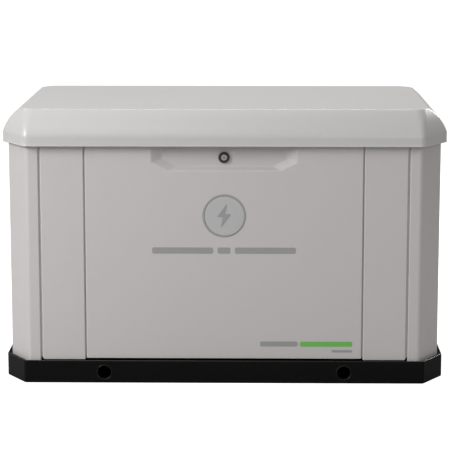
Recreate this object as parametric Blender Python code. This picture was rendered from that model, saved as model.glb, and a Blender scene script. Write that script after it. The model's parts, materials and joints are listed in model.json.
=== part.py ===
"""Home standby generator: an air-cooled, gas-fuelled twin in a weatherproof cabinet.

Metres, +Z up. The origin is the middle of the base's underside, the front faces -Y, and the
crankshaft runs along X. Every object left visible is one closed solid.
"""
import math

import bmesh
import bpy
from mathutils import Vector

# ---------------------------------------------------------------- driving dimensions
GAP = 0.0003                       # left between pieces that rest on each other

BASE_SIZE = (1.230, 0.751)
BASE_CUT = (0.059, 0.092)          # how far a corner is cut back along X and along Y
BASE_HEIGHT = 0.064
BASE_DECK = 0.059
BASE_WALL = 0.004
BASE_FOOT = 0.045                  # width of the flange that stands on the pad
LIFT_HOLE_X = 0.334
LIFT_HOLE_Z = 0.0310
LIFT_HOLE_RADIUS = 0.0195

CABINET_SIZE = (1.206, 0.731)
CABINET_CUT = (0.058, 0.092)
CABINET_BOTTOM = BASE_HEIGHT + 0.0015
CABINET_TOP = 0.6645
SHEET = 0.0015
POST_SHEET = 0.002
FLANGE = 0.0217                    # depth of the folded edges, up to the header frame
DOOR_FLANGE = 0.0195
FOLD_RADIUS = 0.004
CORNER_RADIUS = 0.016
SEAM_DOOR = (0.3837, 0.3863)       # door edge and side strip edge, either side of the seam
SEAM_POST = (0.5070, 0.5110)
DOOR_BOTTOM = 0.0695
SIDE_SEAM_Y = 0.2250
SIDE_SEAM_GAP = 0.004

RECESS_MOUTH = ((0.201, 0.0), (0.201, 0.6195), (0.156, 0.5985))
RECESS_FLOOR = ((0.172, 0.0), (0.172, 0.6290), (0.1336, 0.6083))
RECESS_DEPTH = 0.0145
LOCK_Z = 0.6334
LOCK_RING_RADIUS = 0.0155
LOCK_CORE_RADIUS = 0.0100

LID_SIZE = (1.239, 0.771)
LID_CUT = (0.070, 0.116)
LID_BOTTOM = 0.666
LID_CREASE = 0.695
LID_TOP = 0.764
LID_WALL = 0.003
LID_SLOPE = (0.053, 0.055)         # plateau edge inside the lid's outline, along X and Y
LID_TOP_CUT = (0.022, 0.038)       # the cut corners shrink to this on the way up to the plateau
LID_CORNER_RADIUS = 0.026

HEADER_Z = (0.648, 0.660)
HEADER_INSET = 0.022
HEADER_WIDTH = 0.025
GASKET_HEIGHT = 0.004

HINGE_X = 0.400
HINGE_Y = 0.3728
HINGE_Z = 0.6600
KNUCKLE_RADIUS = 0.0050
HINGE_PIN_RADIUS = 0.0022
HINGE_HALF = 0.030
KNUCKLE_HALF = 0.012

CRADLE_Z = (0.1003, 0.1060)
CRANK_Y = 0.020
CRANK_Z = CRADLE_Z[1] + GAP + 0.150
CRANKCASE_X = (-0.270, -0.090)
SHAFT_RADIUS = 0.018
BEARING_RADIUS = 0.0186
CYLINDER_REACH = (0.0853, 0.200)
HEAD_REACH = (0.2003, 0.248)
CYLINDER_X = {"front": -0.210, "rear": -0.160}
COUPLING_X = -0.060                # where the crankshaft meets the rotor's shaft
STATOR_X = (CRANKCASE_X[1] + GAP, 0.170)
STATOR_RADIUS = 0.115
BULKHEAD_X = (-0.405, -0.4025)
MUFFLER_X = -0.500
MUFFLER_RADIUS = 0.065
PIPE_RADIUS = 0.016

CONTROL_LOW = (0.335, -0.215, 0.500)
CONTROL_HIGH = (0.545, 0.015, 0.630)
BATTERY_LOW = (0.335, -0.300, 0.0593)
BATTERY_HIGH = (0.542, -0.127, 0.2560)

FUEL_X = 0.070
FUEL_Z = 0.300
MIXER_X = -0.185
LEAD_RADIUS = 0.0055
HOSE_RADIUS = 0.0095

ROUND_STEPS = 20


# ---------------------------------------------------------------- looks and shape helpers
def look(name, colour, roughness, metallic=0.0):
    """Return a plain material, made once for each name."""
    found = bpy.data.materials.get(name)
    if found:
        return found
    material = bpy.data.materials.new(name)
    material.use_nodes = True
    shader = material.node_tree.nodes["Principled BSDF"]
    shader.inputs["Base Color"].default_value = (*colour, 1.0)
    shader.inputs["Roughness"].default_value = roughness
    shader.inputs["Metallic"].default_value = metallic
    material.diffuse_color = (*colour, 1.0)
    return material


def add_piece(name, shape, material, pivot=(0.0, 0.0, 0.0)):
    """Turn a bmesh in world coordinates into an object whose origin is the pivot."""
    bmesh.ops.recalc_face_normals(shape, faces=shape.faces)
    bmesh.ops.translate(shape, verts=shape.verts, vec=-Vector(pivot))
    mesh = bpy.data.meshes.new(name)
    shape.to_mesh(mesh)
    shape.free()
    mesh.shade_smooth()
    mesh.set_sharp_from_angle(angle=math.radians(35.0))
    mesh.materials.append(material)
    piece = bpy.data.objects.new(name, mesh)
    piece.location = pivot
    bpy.context.collection.objects.link(piece)
    return piece


def combine(piece, shape, operation):
    """Join a further shape to a piece, or cut it away, and keep it as a hidden guide."""
    guide = add_piece("guide_" + piece.name, shape, piece.data.materials[0])
    guide.hide_render = True
    guide.display_type = "WIRE"
    modifier = piece.modifiers.new(operation.lower(), "BOOLEAN")
    modifier.operation = operation
    modifier.solver = "EXACT"
    modifier.object = guide


def join(piece, *shapes):
    """Fuse shapes that overlap a piece into it."""
    for shape in shapes:
        combine(piece, shape, "UNION")


def cut(piece, *shapes):
    """Cut shapes away from a piece."""
    for shape in shapes:
        combine(piece, shape, "DIFFERENCE")


def loft(rings, capped=True):
    """Skin over rings of points; a ring of one point is a pole. Without caps it closes up."""
    shape = bmesh.new()
    rows = [[shape.verts.new(point) for point in ring] for ring in rings]
    pairs = list(zip(rows, rows[1:]))
    if not capped:
        pairs.append((rows[-1], rows[0]))
    for lower, upper in pairs:
        count = max(len(lower), len(upper))
        for index in range(count):
            after = (index + 1) % count
            if len(lower) == 1:
                shape.faces.new((lower[0], upper[index], upper[after]))
            elif len(upper) == 1:
                shape.faces.new((lower[index], lower[after], upper[0]))
            else:
                shape.faces.new((lower[index], lower[after], upper[after], upper[index]))
    if capped:
        for row in (rows[0], rows[-1]):
            if len(row) > 2:
                shape.faces.new(row)
    return shape


def on_axis(axis, across, up, along):
    """Place a point given across, up and along an axis: X (y, z), Y (x, z) or Z (x, y)."""
    places = {"X": (along, across, up), "Y": (across, along, up), "Z": (across, up, along)}
    return Vector(places[axis])


def prism(outline, low, high, axis="Z"):
    """Extrude an outline between two places along an axis."""
    rings = []
    for along in (low, high):
        rings.append([on_axis(axis, point[0], point[1], along) for point in outline])
    return loft(rings)


def block(low, high):
    """Make a box from its lowest and highest corners."""
    outline = [(low[0], low[1]), (high[0], low[1]), (high[0], high[1]), (low[0], high[1])]
    return prism(outline, low[2], high[2])


def turned(profile, centre, axis="Z", steps=ROUND_STEPS, ring=False):
    """Turn a profile of (along, radius) points about an axis through a centre.

    The centre is given across and up, as for on_axis. A ring's profile is closed and stays
    off the axis.
    """
    rings = []
    for along, radius in profile:
        if radius == 0.0:
            rings.append([on_axis(axis, centre[0], centre[1], along)])
            continue
        circle = []
        for step in range(steps):
            angle = 2.0 * math.pi * step / steps
            across = centre[0] + radius * math.cos(angle)
            up = centre[1] + radius * math.sin(angle)
            circle.append(on_axis(axis, across, up, along))
        rings.append(circle)
    return loft(rings, capped=not ring)


def rod(low, high, radius, centre, axis="Z", steps=ROUND_STEPS):
    """Make a plain round bar."""
    return turned([(low, radius), (high, radius)], centre, axis, steps)


def tube(low, high, outer, inner, centre, axis="Z", steps=ROUND_STEPS):
    """Make a plain round tube."""
    profile = [(low, outer), (high, outer), (high, inner), (low, inner)]
    return turned(profile, centre, axis, steps, ring=True)


def filleted(points, radii, closed=True, steps=3):
    """Round the corners of an outline or a path with arcs."""
    rounded = []
    count = len(points)
    for index, corner in enumerate(points):
        radius = radii[index]
        at_end = not closed and index in (0, count - 1)
        if radius == 0.0 or at_end:
            rounded.append(Vector(corner))
            continue
        here = Vector(corner)
        back = (Vector(points[index - 1]) - here).normalized()
        ahead = (Vector(points[(index + 1) % count]) - here).normalized()
        half = back.angle(ahead) / 2.0
        start = here + back * radius / math.tan(half)
        finish = here + ahead * radius / math.tan(half)
        middle = here + (back + ahead).normalized() * radius / math.sin(half)
        for step in range(steps + 1):
            spoke = (start - middle).slerp(finish - middle, step / steps)
            rounded.append(middle + spoke.normalized() * radius)
    return rounded


def offset_path(points, distance):
    """Move an open path sideways, to its left for a positive distance."""
    moved = []
    for index, here in enumerate(points):
        before = points[max(index - 1, 0)]
        after = points[min(index + 1, len(points) - 1)]
        first = (here - before) if index > 0 else (after - here)
        second = (after - here) if index < len(points) - 1 else first
        left_first = Vector((-first.y, first.x)).normalized()
        left_second = Vector((-second.y, second.x)).normalized()
        middle = (left_first + left_second).normalized()
        moved.append(here + middle * distance / middle.dot(left_first))
    return moved


def folded_sheet(path, radii, thickness, low, high):
    """Extrude a folded sheet upwards; its metal lies to the left of the path."""
    outer = filleted(path, radii, closed=False)
    inner = offset_path(outer, thickness)
    return prism(outer + inner[::-1], low, high)


def octagon(size, cuts, inset=0.0, radius=CORNER_RADIUS):
    """Outline of a box with its four corners cut back, with rounded edges."""
    half_x = size[0] / 2.0 - inset
    half_y = size[1] / 2.0 - inset
    slant = math.hypot(*cuts)
    cut_x = cuts[0] + inset * (slant - cuts[0] - cuts[1]) / cuts[1]
    cut_y = cuts[1] + inset * (slant - cuts[0] - cuts[1]) / cuts[0]
    corners = []
    for sign_x, sign_y in ((1, -1), (1, 1), (-1, 1), (-1, -1)):
        along_y = (sign_x * (half_x - cut_x), sign_y * half_y)
        along_x = (sign_x * half_x, sign_y * (half_y - cut_y))
        pair = [along_y, along_x] if sign_x * sign_y < 0 else [along_x, along_y]
        corners.extend(pair)
    return filleted(corners, [radius] * len(corners))


def ring_at(outline, height):
    """Lift a flat outline to a height."""
    return [(point[0], point[1], height) for point in outline]


# ---------------------------------------------------------------- finishes
def make_looks():
    """Name the plain finishes that the pieces share."""
    return {
        "paint": look("cabinet_paint", (0.50, 0.48, 0.46), 0.42),
        "base": look("base_black", (0.018, 0.018, 0.020), 0.48),
        "zinc": look("zinc_steel", (0.55, 0.55, 0.54), 0.38, 0.9),
        "dark": look("black_plastic", (0.025, 0.025, 0.027), 0.5),
        "chrome": look("lock_chrome", (0.75, 0.75, 0.76), 0.2, 1.0),
        "cast": look("cast_aluminium", (0.42, 0.43, 0.44), 0.5, 0.8),
        "iron": look("engine_black", (0.035, 0.035, 0.037), 0.5, 0.3),
        "rubber": look("black_rubber", (0.02, 0.02, 0.02), 0.85),
        "steel": look("ground_steel", (0.6, 0.6, 0.6), 0.28, 1.0),
        "hot": look("aluminised_steel", (0.46, 0.45, 0.42), 0.5, 0.9),
        "yellow": look("dipstick_yellow", (0.72, 0.52, 0.03), 0.45),
        "white": look("filter_white", (0.72, 0.72, 0.70), 0.4),
        "red": look("lead_red", (0.42, 0.02, 0.015), 0.55),
        "grey": look("grey_plastic", (0.17, 0.18, 0.19), 0.5),
        "key": look("key_grey", (0.34, 0.35, 0.36), 0.55),
    }


# ---------------------------------------------------------------- base and cabinet
def make_base(looks):
    """The moulded pan with its rim, standing on an inward flange, with two lifting ways."""
    sections = [(0.003, BASE_DECK), (0.003, BASE_HEIGHT), (0.0, BASE_HEIGHT), (0.0, 0.0)]
    sections += [(BASE_FOOT, 0.0), (BASE_FOOT, BASE_WALL)]
    sections += [(BASE_WALL, BASE_WALL), (BASE_WALL, BASE_DECK - BASE_WALL)]
    rings = [ring_at(octagon(BASE_SIZE, BASE_CUT, inset), z) for inset, z in sections]
    pan = add_piece("base_pan", loft(rings), looks["base"])
    for side in (-1, 1):
        centre = (side * LIFT_HOLE_X, LIFT_HOLE_Z)
        cut(pan, rod(-0.45, 0.45, LIFT_HOLE_RADIUS, centre, "Y", 24))


def make_corner_posts(looks):
    """Four folded posts, each round one cut corner of the cabinet."""
    half_x, half_y = CABINET_SIZE[0] / 2.0, CABINET_SIZE[1] / 2.0
    post_path = [
        (SEAM_POST[1], half_y - FLANGE),
        (SEAM_POST[1], half_y),
        (half_x - CABINET_CUT[0], half_y),
        (half_x, half_y - CABINET_CUT[1]),
        (half_x, SIDE_SEAM_Y),
        (half_x - FLANGE, SIDE_SEAM_Y),
    ]
    radii = [0.0, FOLD_RADIUS, CORNER_RADIUS, CORNER_RADIUS, FOLD_RADIUS, 0.0]
    for end, sign_y in (("front", -1), ("rear", 1)):
        for side, sign_x in (("left", -1), ("right", 1)):
            path = [(sign_x * x, sign_y * y) for x, y in post_path]
            inward = -POST_SHEET * sign_x * sign_y
            shape = folded_sheet(path, radii, inward, BASE_DECK + GAP, CABINET_TOP)
            add_piece("corner_post_%s_%s" % (end, side), shape, looks["paint"])


def tray_path(low, high, face, depth):
    """Path of a sheet along X with both edges folded away from its face."""
    back = face - math.copysign(depth, face)
    return [(low, back), (low, face), (high, face), (high, back)]


def make_front_strips(looks):
    """The narrow panel on each side of the door."""
    face = -CABINET_SIZE[1] / 2.0
    radii = [0.0, FOLD_RADIUS, FOLD_RADIUS, 0.0]
    for side, sign in (("left", -1), ("right", 1)):
        low, high = sorted((sign * SEAM_DOOR[1], sign * SEAM_POST[0]))
        shape = folded_sheet(tray_path(low, high, face, FLANGE), radii, SHEET,
                             CABINET_BOTTOM, CABINET_TOP)
        add_piece("front_strip_" + side, shape, looks["paint"])


def recess_loop(corners, place, grow=0.0, top=CABINET_TOP):
    """The finger pull's outline at one depth, open towards the top of the door."""
    right = []
    for index, (x, z) in enumerate(corners):
        height = top if index == 0 else z - grow
        right.append((x + grow, place, height))
    left = [(-x, y, z) for x, y, z in right]
    return right + left[::-1]


def make_door(looks):
    """The lift-off door: a folded sheet with the finger pull pressed into its top edge."""
    face = -CABINET_SIZE[1] / 2.0
    pivot = (0.0, face, DOOR_BOTTOM + 0.002)
    radii = [0.0, FOLD_RADIUS, FOLD_RADIUS, 0.0]
    path = tray_path(-SEAM_DOOR[0], SEAM_DOOR[0], face, DOOR_FLANGE)
    shape = folded_sheet(path, radii, SHEET, DOOR_BOTTOM, CABINET_TOP)
    door = add_piece("front_door", shape, looks["paint"], pivot)
    floor = face + RECESS_DEPTH
    front = face + SHEET / 2.0
    backing = [recess_loop(RECESS_MOUTH, front, SHEET),
               recess_loop(RECESS_FLOOR, floor + SHEET, SHEET)]
    join(door, loft(backing))
    above = CABINET_TOP + 0.004
    hollow = [recess_loop(RECESS_MOUTH, face - 0.001, 0.002, above),
              recess_loop(RECESS_FLOOR, floor, 0.0, above)]
    cut(door, loft(hollow))
    cut(door, rod(floor - 0.01, floor + 0.01, LOCK_CORE_RADIUS + 0.0006, (0.0, LOCK_Z), "Y"))


def make_lock(looks):
    """Key lock in the finger pull: a fixed ring, a turning core and its latch cam."""
    floor = -CABINET_SIZE[1] / 2.0 + RECESS_DEPTH
    centre = (0.0, LOCK_Z)
    ring = turned([(floor - GAP, LOCK_RING_RADIUS), (floor - 0.0045, LOCK_RING_RADIUS),
                   (floor - 0.0060, LOCK_RING_RADIUS - 0.0015),
                   (floor - 0.0060, LOCK_CORE_RADIUS + 0.0005),
                   (floor - GAP, LOCK_CORE_RADIUS + 0.0005)], centre, "Y", 24, ring=True)
    add_piece("lock_ring", ring, looks["dark"])
    cam_front = -CABINET_SIZE[1] / 2.0 + 0.049
    pivot = (0.0, floor, LOCK_Z)
    core = turned([(floor - 0.0066, 0.0), (floor - 0.0066, LOCK_CORE_RADIUS - 0.001),
                   (floor - 0.0056, LOCK_CORE_RADIUS), (cam_front - GAP, LOCK_CORE_RADIUS),
                   (cam_front - GAP, 0.0)], centre, "Y", 24)
    cylinder = add_piece("lock_cylinder", core, looks["chrome"], pivot)
    keyway = block((-0.0009, floor - 0.010, LOCK_Z - 0.0048),
                   (0.0009, floor + 0.006, LOCK_Z + 0.0048))
    cut(cylinder, keyway)
    outline = filleted([(-0.008, LOCK_Z - 0.007), (0.030, LOCK_Z - 0.007),
                        (0.030, LOCK_Z + 0.007), (-0.008, LOCK_Z + 0.007)], [0.004] * 4)
    cam = prism(outline, cam_front, cam_front + 0.003, "Y")
    add_piece("lock_cam", cam, looks["zinc"], pivot)


def louvre_slots(centres, half_length, rows, pitch, first, wall, axis):
    """Cutters for fields of air slots, one box a slot, along X or along Y."""
    for centre in centres:
        for row in range(rows):
            height = first + row * pitch
            if axis == "X":
                low = (centre - half_length, wall - 0.004, height)
                high = (centre + half_length, wall + 0.004, height + 0.009)
            else:
                low = (wall - 0.004, centre - half_length, height)
                high = (wall + 0.004, centre + half_length, height + 0.009)
            yield block(low, high)


def make_side_panels(looks):
    """End panels with a field of air slots low down and one under the lid."""
    face = CABINET_SIZE[0] / 2.0
    edge = SIDE_SEAM_Y - SIDE_SEAM_GAP
    radii = [0.0, FOLD_RADIUS, FOLD_RADIUS, 0.0]
    for side, sign in (("left", -1), ("right", 1)):
        back = sign * (face - FLANGE)
        path = [(back, -edge), (sign * face, -edge), (sign * face, edge), (back, edge)]
        shape = folded_sheet(path, radii, sign * SHEET, CABINET_BOTTOM, CABINET_TOP)
        panel = add_piece("side_panel_" + side, shape, looks["paint"])
        cut(panel, *louvre_slots((-0.105, 0.105), 0.085, 9, 0.026, 0.130, sign * face, "Y"))


def make_rear_panel(looks):
    """Back panel with air slots and the way in for the fuel pipe."""
    face = CABINET_SIZE[1] / 2.0
    edge = SEAM_POST[0]
    path = tray_path(edge, -edge, face, FLANGE)
    radii = [0.0, FOLD_RADIUS, FOLD_RADIUS, 0.0]
    shape = folded_sheet(path, radii, SHEET, CABINET_BOTTOM, CABINET_TOP)
    panel = add_piece("rear_panel", shape, looks["paint"])
    cut(panel, *louvre_slots((-0.33, 0.33), 0.11, 8, 0.026, 0.360, face, "X"))
    cut(panel, rod(face - 0.01, face + 0.01, 0.0190, (FUEL_X, FUEL_Z), "Y"))


def make_header(looks):
    """The frame under the lid and the seal that lies on it."""
    outer = octagon(CABINET_SIZE, CABINET_CUT, HEADER_INSET, 0.012)
    inner = octagon(CABINET_SIZE, CABINET_CUT, HEADER_INSET + HEADER_WIDTH, 0.012)
    low, high = HEADER_Z
    rings = [ring_at(outer, low), ring_at(outer, high), ring_at(inner, high), ring_at(inner, low)]
    add_piece("header_frame", loft(rings, capped=False), looks["zinc"])
    seal_low = high + GAP
    seal_high = seal_low + GASKET_HEIGHT
    outer = octagon(CABINET_SIZE, CABINET_CUT, HEADER_INSET + 0.004, 0.012)
    inner = octagon(CABINET_SIZE, CABINET_CUT, HEADER_INSET + 0.013, 0.012)
    rings = [ring_at(outer, seal_low), ring_at(outer, seal_high)]
    rings += [ring_at(inner, seal_high), ring_at(inner, seal_low)]
    add_piece("lid_gasket", loft(rings, capped=False), looks["rubber"])


def lid_loop(blend_in, height, wall=0.0):
    """One level of the lid: how far in towards the plateau, how high, how far inside."""
    size = (LID_SIZE[0] - 2.0 * LID_SLOPE[0] * blend_in,
            LID_SIZE[1] - 2.0 * LID_SLOPE[1] * blend_in)
    cuts = [low + (high - low) * blend_in for low, high in zip(LID_CUT, LID_TOP_CUT)]
    return ring_at(octagon(size, cuts, wall, LID_CORNER_RADIUS), height)


def lid_levels(steps=5):
    """Blend and height of each level from the crease to the plateau, on a curve."""
    rise = LID_TOP - LID_CREASE
    levels = []
    for step in range(steps + 1):
        t = step / steps
        blend_in = 2.0 * t * (1.0 - t) * 0.26 + t * t
        height = LID_CREASE + rise * (2.0 * t * (1.0 - t) * 0.60 + t * t)
        levels.append((blend_in, height))
    return levels


def make_lid(looks):
    """The hinged roof: one pressed shell, hollow underneath."""
    pivot = (0.0, HINGE_Y, HINGE_Z)
    levels = lid_levels()
    outside = [lid_loop(blend, z) for blend, z in levels[::-1]] + [lid_loop(0.0, LID_BOTTOM)]
    inside = [lid_loop(0.0, LID_BOTTOM, LID_WALL)]
    inside += [lid_loop(blend, z - LID_WALL, LID_WALL) for blend, z in levels]
    add_piece("lid_shell", loft(outside + inside), looks["paint"], pivot)


def make_hinges(looks):
    """Two butt hinges behind the cabinet, each with its own pin."""
    rear = CABINET_SIZE[1] / 2.0
    axis = (HINGE_Y, HINGE_Z)
    pivot = (0.0, HINGE_Y, HINGE_Z)
    bore = HINGE_PIN_RADIUS + GAP
    for side, sign in (("left", -1), ("right", 1)):
        middle = sign * HINGE_X
        low, high = middle - HINGE_HALF, middle + HINGE_HALF
        plate = block((low, rear + GAP, 0.622), (high, rear + 0.0021, 0.6645))
        leaf = add_piece("hinge_leaf_cabinet_" + side, plate, looks["zinc"])
        for start, end in ((low, middle - KNUCKLE_HALF - GAP), (middle + KNUCKLE_HALF + GAP, high)):
            join(leaf, rod(start, end, KNUCKLE_RADIUS, axis, "X", 12))
            join(leaf, block((start, rear + 0.001, HINGE_Z - 0.004),
                             (end, HINGE_Y - 0.0012, HINGE_Z + 0.003)))
        cut(leaf, rod(low - 0.01, high + 0.01, bore, axis, "X", 12))
        start, end = middle - KNUCKLE_HALF, middle + KNUCKLE_HALF
        wall = LID_SIZE[1] / 2.0 - LID_WALL - GAP
        upright = block((start, wall - 0.002, 0.6630), (end, wall, 0.6900))
        lid_leaf = add_piece("hinge_leaf_lid_" + side, upright, looks["zinc"], pivot)
        join(lid_leaf, block((start, HINGE_Y, HINGE_Z + 0.0030), (end, wall - 0.001, HINGE_Z + 0.0045)))
        join(lid_leaf, rod(start, end, KNUCKLE_RADIUS, axis, "X", 12))
        cut(lid_leaf, rod(low - 0.01, high + 0.01, bore, axis, "X", 12))
        pin = rod(low - 0.001, high + 0.001, HINGE_PIN_RADIUS, axis, "X", 12)
        add_piece("hinge_pin_" + side, pin, looks["steel"])


# ---------------------------------------------------------------- engine
def make_cradle(looks):
    """The engine's steel plate on four rubber mounts."""
    outline = filleted([(-0.30, -0.13), (0.21, -0.13), (0.21, 0.20), (-0.30, 0.20)], [0.02] * 4)
    add_piece("engine_cradle", prism(outline, *CRADLE_Z), looks["iron"])
    places = {"front_left": (-0.27, -0.10), "front_right": (0.18, -0.10),
              "rear_left": (-0.27, 0.17), "rear_right": (0.18, 0.17)}
    low, high = BASE_DECK + GAP, CRADLE_Z[0] - GAP
    for name, centre in places.items():
        profile = [(low, 0.0), (low, 0.024), (low + 0.006, 0.024), (low + 0.012, 0.018),
                   (high - 0.012, 0.018), (high - 0.006, 0.024), (high, 0.024), (high, 0.0)]
        mount = turned(profile, centre, "Z", 16)
        add_piece("vibration_mount_" + name, mount, looks["rubber"])


def make_crankcase(looks):
    """The cast crankcase with a slanted seat for each cylinder, and the crankshaft in it."""
    low, high = CRANKCASE_X
    side, seat, sump = 0.120, 0.120, 0.150
    outline = [(-side, -sump), (side, -sump), (side, 0.0), (0.0, seat), (-side, 0.0)]
    outline = [(CRANK_Y + y, CRANK_Z + z) for y, z in outline]
    outline = filleted(outline, [0.020, 0.020, 0.004, 0.004, 0.004])
    case = add_piece("crankcase", prism(outline, low, high, "X"), looks["cast"])
    axis = (CRANK_Y, CRANK_Z)
    cut(case, rod(low + 0.012, high - 0.012, 0.072, axis, "X"))
    cut(case, rod(low - 0.01, high + 0.01, BEARING_RADIUS, axis, "X"))
    pivot = (0.0, CRANK_Y, CRANK_Z)
    journal_end, web = -0.236, 0.014
    shaft = add_piece("crankshaft", rod(-0.352, journal_end + 0.001, SHAFT_RADIUS, axis, "X"),
                      looks["steel"], pivot)
    join(shaft, rod(journal_end, journal_end + web, 0.062, axis, "X"))
    join(shaft, rod(journal_end + web - 0.001, -0.138, 0.017, (CRANK_Y, CRANK_Z + 0.034), "X"))
    join(shaft, rod(-0.139, -0.139 + web, 0.062, axis, "X"))
    join(shaft, rod(-0.126, COUPLING_X, SHAFT_RADIUS, axis, "X"))


def slanted(shape, sign):
    """Tip an upright shape on the crankshaft's axis by 45 degrees, forwards for -1."""
    from_axis = Vector((0.0, CRANK_Y, CRANK_Z))
    lean = math.radians(45.0) * -sign
    for vert in shape.verts:
        rise = vert.co - from_axis
        y = rise.y * math.cos(lean) - rise.z * math.sin(lean)
        z = rise.y * math.sin(lean) + rise.z * math.cos(lean)
        vert.co = from_axis + Vector((rise.x, y, z))
    return shape


def make_cylinders(looks):
    """Two finned barrels in a right-angled V, each with its head."""
    fins, fin_radius, barrel_radius, bore = 5, 0.060, 0.046, 0.038
    for end, sign in (("front", -1), ("rear", 1)):
        centre = (CYLINDER_X[end], CRANK_Y)
        low, high = CRANK_Z + CYLINDER_REACH[0], CRANK_Z + CYLINDER_REACH[1]
        pitch = (high - low - 0.020) / fins
        profile = [(low, bore), (low, barrel_radius)]
        for fin in range(fins):
            foot = low + 0.018 + fin * pitch
            profile += [(foot, barrel_radius), (foot, fin_radius)]
            profile += [(foot + 0.005, fin_radius), (foot + 0.005, barrel_radius)]
        profile += [(high, barrel_radius), (high, bore)]
        barrel = slanted(turned(profile, centre, "Z", 16, ring=True), sign)
        add_piece("cylinder_" + end, barrel, looks["cast"])
        low, high = CRANK_Z + HEAD_REACH[0], CRANK_Z + HEAD_REACH[1]
        x, y = centre
        outline = [(x - 0.056, y - 0.050), (x + 0.056, y - 0.050), (x + 0.056, y + 0.050),
                   (x - 0.056, y + 0.050)]
        head = prism(filleted(outline, [0.012] * 4), low, low + 0.022)
        piece = add_piece("cylinder_head_" + end, slanted(head, sign), looks["cast"])
        inner = [(x - 0.046, y - 0.040), (x + 0.046, y - 0.040), (x + 0.046, y + 0.040),
                 (x - 0.046, y + 0.040)]
        dome = filleted(inner, [0.014] * 4)
        top = filleted([(x + (a - x) * 0.88, y + (b - y) * 0.86) for a, b in inner], [0.012] * 4)
        cover = loft([ring_at(dome, low + 0.020), ring_at(dome, high - 0.008), ring_at(top, high)])
        join(piece, slanted(cover, sign))


def make_fan(looks):
    """Cooling fan on the crankshaft's free end, inside its open housing."""
    axis = (CRANK_Y, CRANK_Z)
    pivot = (0.0, CRANK_Y, CRANK_Z)
    vanes = 12
    outline = []
    for vane in range(vanes):
        for turn, radius in ((0.0, 0.046), (0.30, 0.112), (0.45, 0.112), (0.42, 0.046)):
            angle = 2.0 * math.pi * (vane + turn) / vanes
            outline.append((axis[0] + radius * math.cos(angle), axis[1] + radius * math.sin(angle)))
    wheel = add_piece("flywheel_fan", prism(outline, -0.345, -0.325, "X"), looks["iron"], pivot)
    join(wheel, rod(-0.326, -0.312, 0.118, axis, "X", 24))
    cut(wheel, rod(-0.40, -0.30, SHAFT_RADIUS + GAP, axis, "X"))
    profile = [(-0.2707, 0.134), (-0.366, 0.134), (-0.366, 0.088), (-0.3625, 0.088),
               (-0.3625, 0.1305), (-0.2707, 0.1305)]
    add_piece("blower_housing", turned(profile, axis, "X", 24, ring=True), looks["iron"])


def make_air_intake(looks):
    """Gas mixer in the valley of the V, with the air cleaner on top of it."""
    centre = (MIXER_X, CRANK_Y)
    low, high = CRANK_Z + 0.1215, 0.4785
    profile = [(low, 0.0), (low, 0.018), (low + 0.030, 0.018), (low + 0.038, 0.027),
               (high, 0.027), (high, 0.0)]
    add_piece("fuel_mixer", turned(profile, centre, "Z", 24), looks["cast"])
    base = high + GAP
    outline = filleted([(-0.285, -0.075), (-0.085, -0.075), (-0.085, 0.115), (-0.285, 0.115)],
                       [0.030] * 4)
    brow = filleted([(-0.275, -0.065), (-0.095, -0.065), (-0.095, 0.105), (-0.275, 0.105)],
                    [0.026] * 4)
    housing = loft([ring_at(outline, base), ring_at(outline, base + 0.056), ring_at(brow, base + 0.068)])
    add_piece("air_cleaner", housing, looks["dark"])


def make_oil_parts(looks):
    """Spin-on filter on the crankcase's front, and the dipstick in its tube."""
    front = CRANK_Y - 0.120 - GAP
    centre = (-0.200, CRANK_Z - 0.070)
    profile = [(front, 0.0), (front, 0.030), (front - 0.006, 0.036), (front - 0.070, 0.036),
               (front - 0.078, 0.030), (front - 0.078, 0.0)]
    add_piece("oil_filter", turned(profile, centre, "Y", 24), looks["white"])
    place = (-0.118, front - 0.0095)
    low, high = CRANK_Z - 0.090, CRANK_Z + 0.130
    add_piece("dipstick_tube", tube(low, high, 0.0092, 0.0070, place, "Z", 16), looks["iron"])
    pivot = (place[0], place[1], high)
    profile = [(low + 0.020, 0.0), (low + 0.020, 0.0020), (high + 0.001, 0.0020),
               (high + 0.001, 0.0110), (high + 0.016, 0.0110), (high + 0.019, 0.0080),
               (high + 0.019, 0.0)]
    add_piece("dipstick", turned(profile, place, "Z", 16), looks["yellow"], pivot)


def make_starter(looks):
    """Starter motor behind the crankcase."""
    centre = (CRANK_Y + 0.120 + GAP + 0.036, CRANK_Z - 0.060)
    profile = [(-0.262, 0.0), (-0.262, 0.022), (-0.238, 0.022), (-0.238, 0.036),
               (-0.128, 0.036), (-0.120, 0.030), (-0.120, 0.0)]
    add_piece("starter_motor", turned(profile, centre, "X", 24), looks["iron"])


def make_exhaust(looks):
    """Two head pipes through the bulkhead into a long silencer."""
    slant = (HEAD_REACH[0] + 0.011) * math.sqrt(0.5)
    port_z = CRANK_Z + slant
    low, high = BULKHEAD_X
    plate = block((low, -0.335, BASE_DECK + GAP), (high, 0.335, HEADER_Z[0] - 0.010))
    bulkhead = add_piece("exhaust_bulkhead", plate, looks["zinc"])
    for end, sign in (("front", -1), ("rear", 1)):
        port = (CRANK_Y + sign * slant, port_z)
        start = CYLINDER_X[end] - 0.056 - GAP
        finish = MUFFLER_X + MUFFLER_RADIUS + 0.001
        pipe = tube(finish, start, PIPE_RADIUS, PIPE_RADIUS - 0.002, port, "X", 18)
        add_piece("exhaust_pipe_" + end, pipe, looks["hot"])
        cut(bulkhead, rod(low - 0.01, high + 0.01, PIPE_RADIUS + 0.004, port, "X", 18))
    profile = [(-0.250, 0.0), (-0.250, 0.045), (-0.240, 0.060), (-0.228, MUFFLER_RADIUS),
               (0.228, MUFFLER_RADIUS), (0.240, 0.060), (0.250, 0.045), (0.250, 0.0)]
    silencer = turned(profile, (MUFFLER_X, port_z), "Y", 24)
    add_piece("muffler", silencer, looks["hot"])


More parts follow.
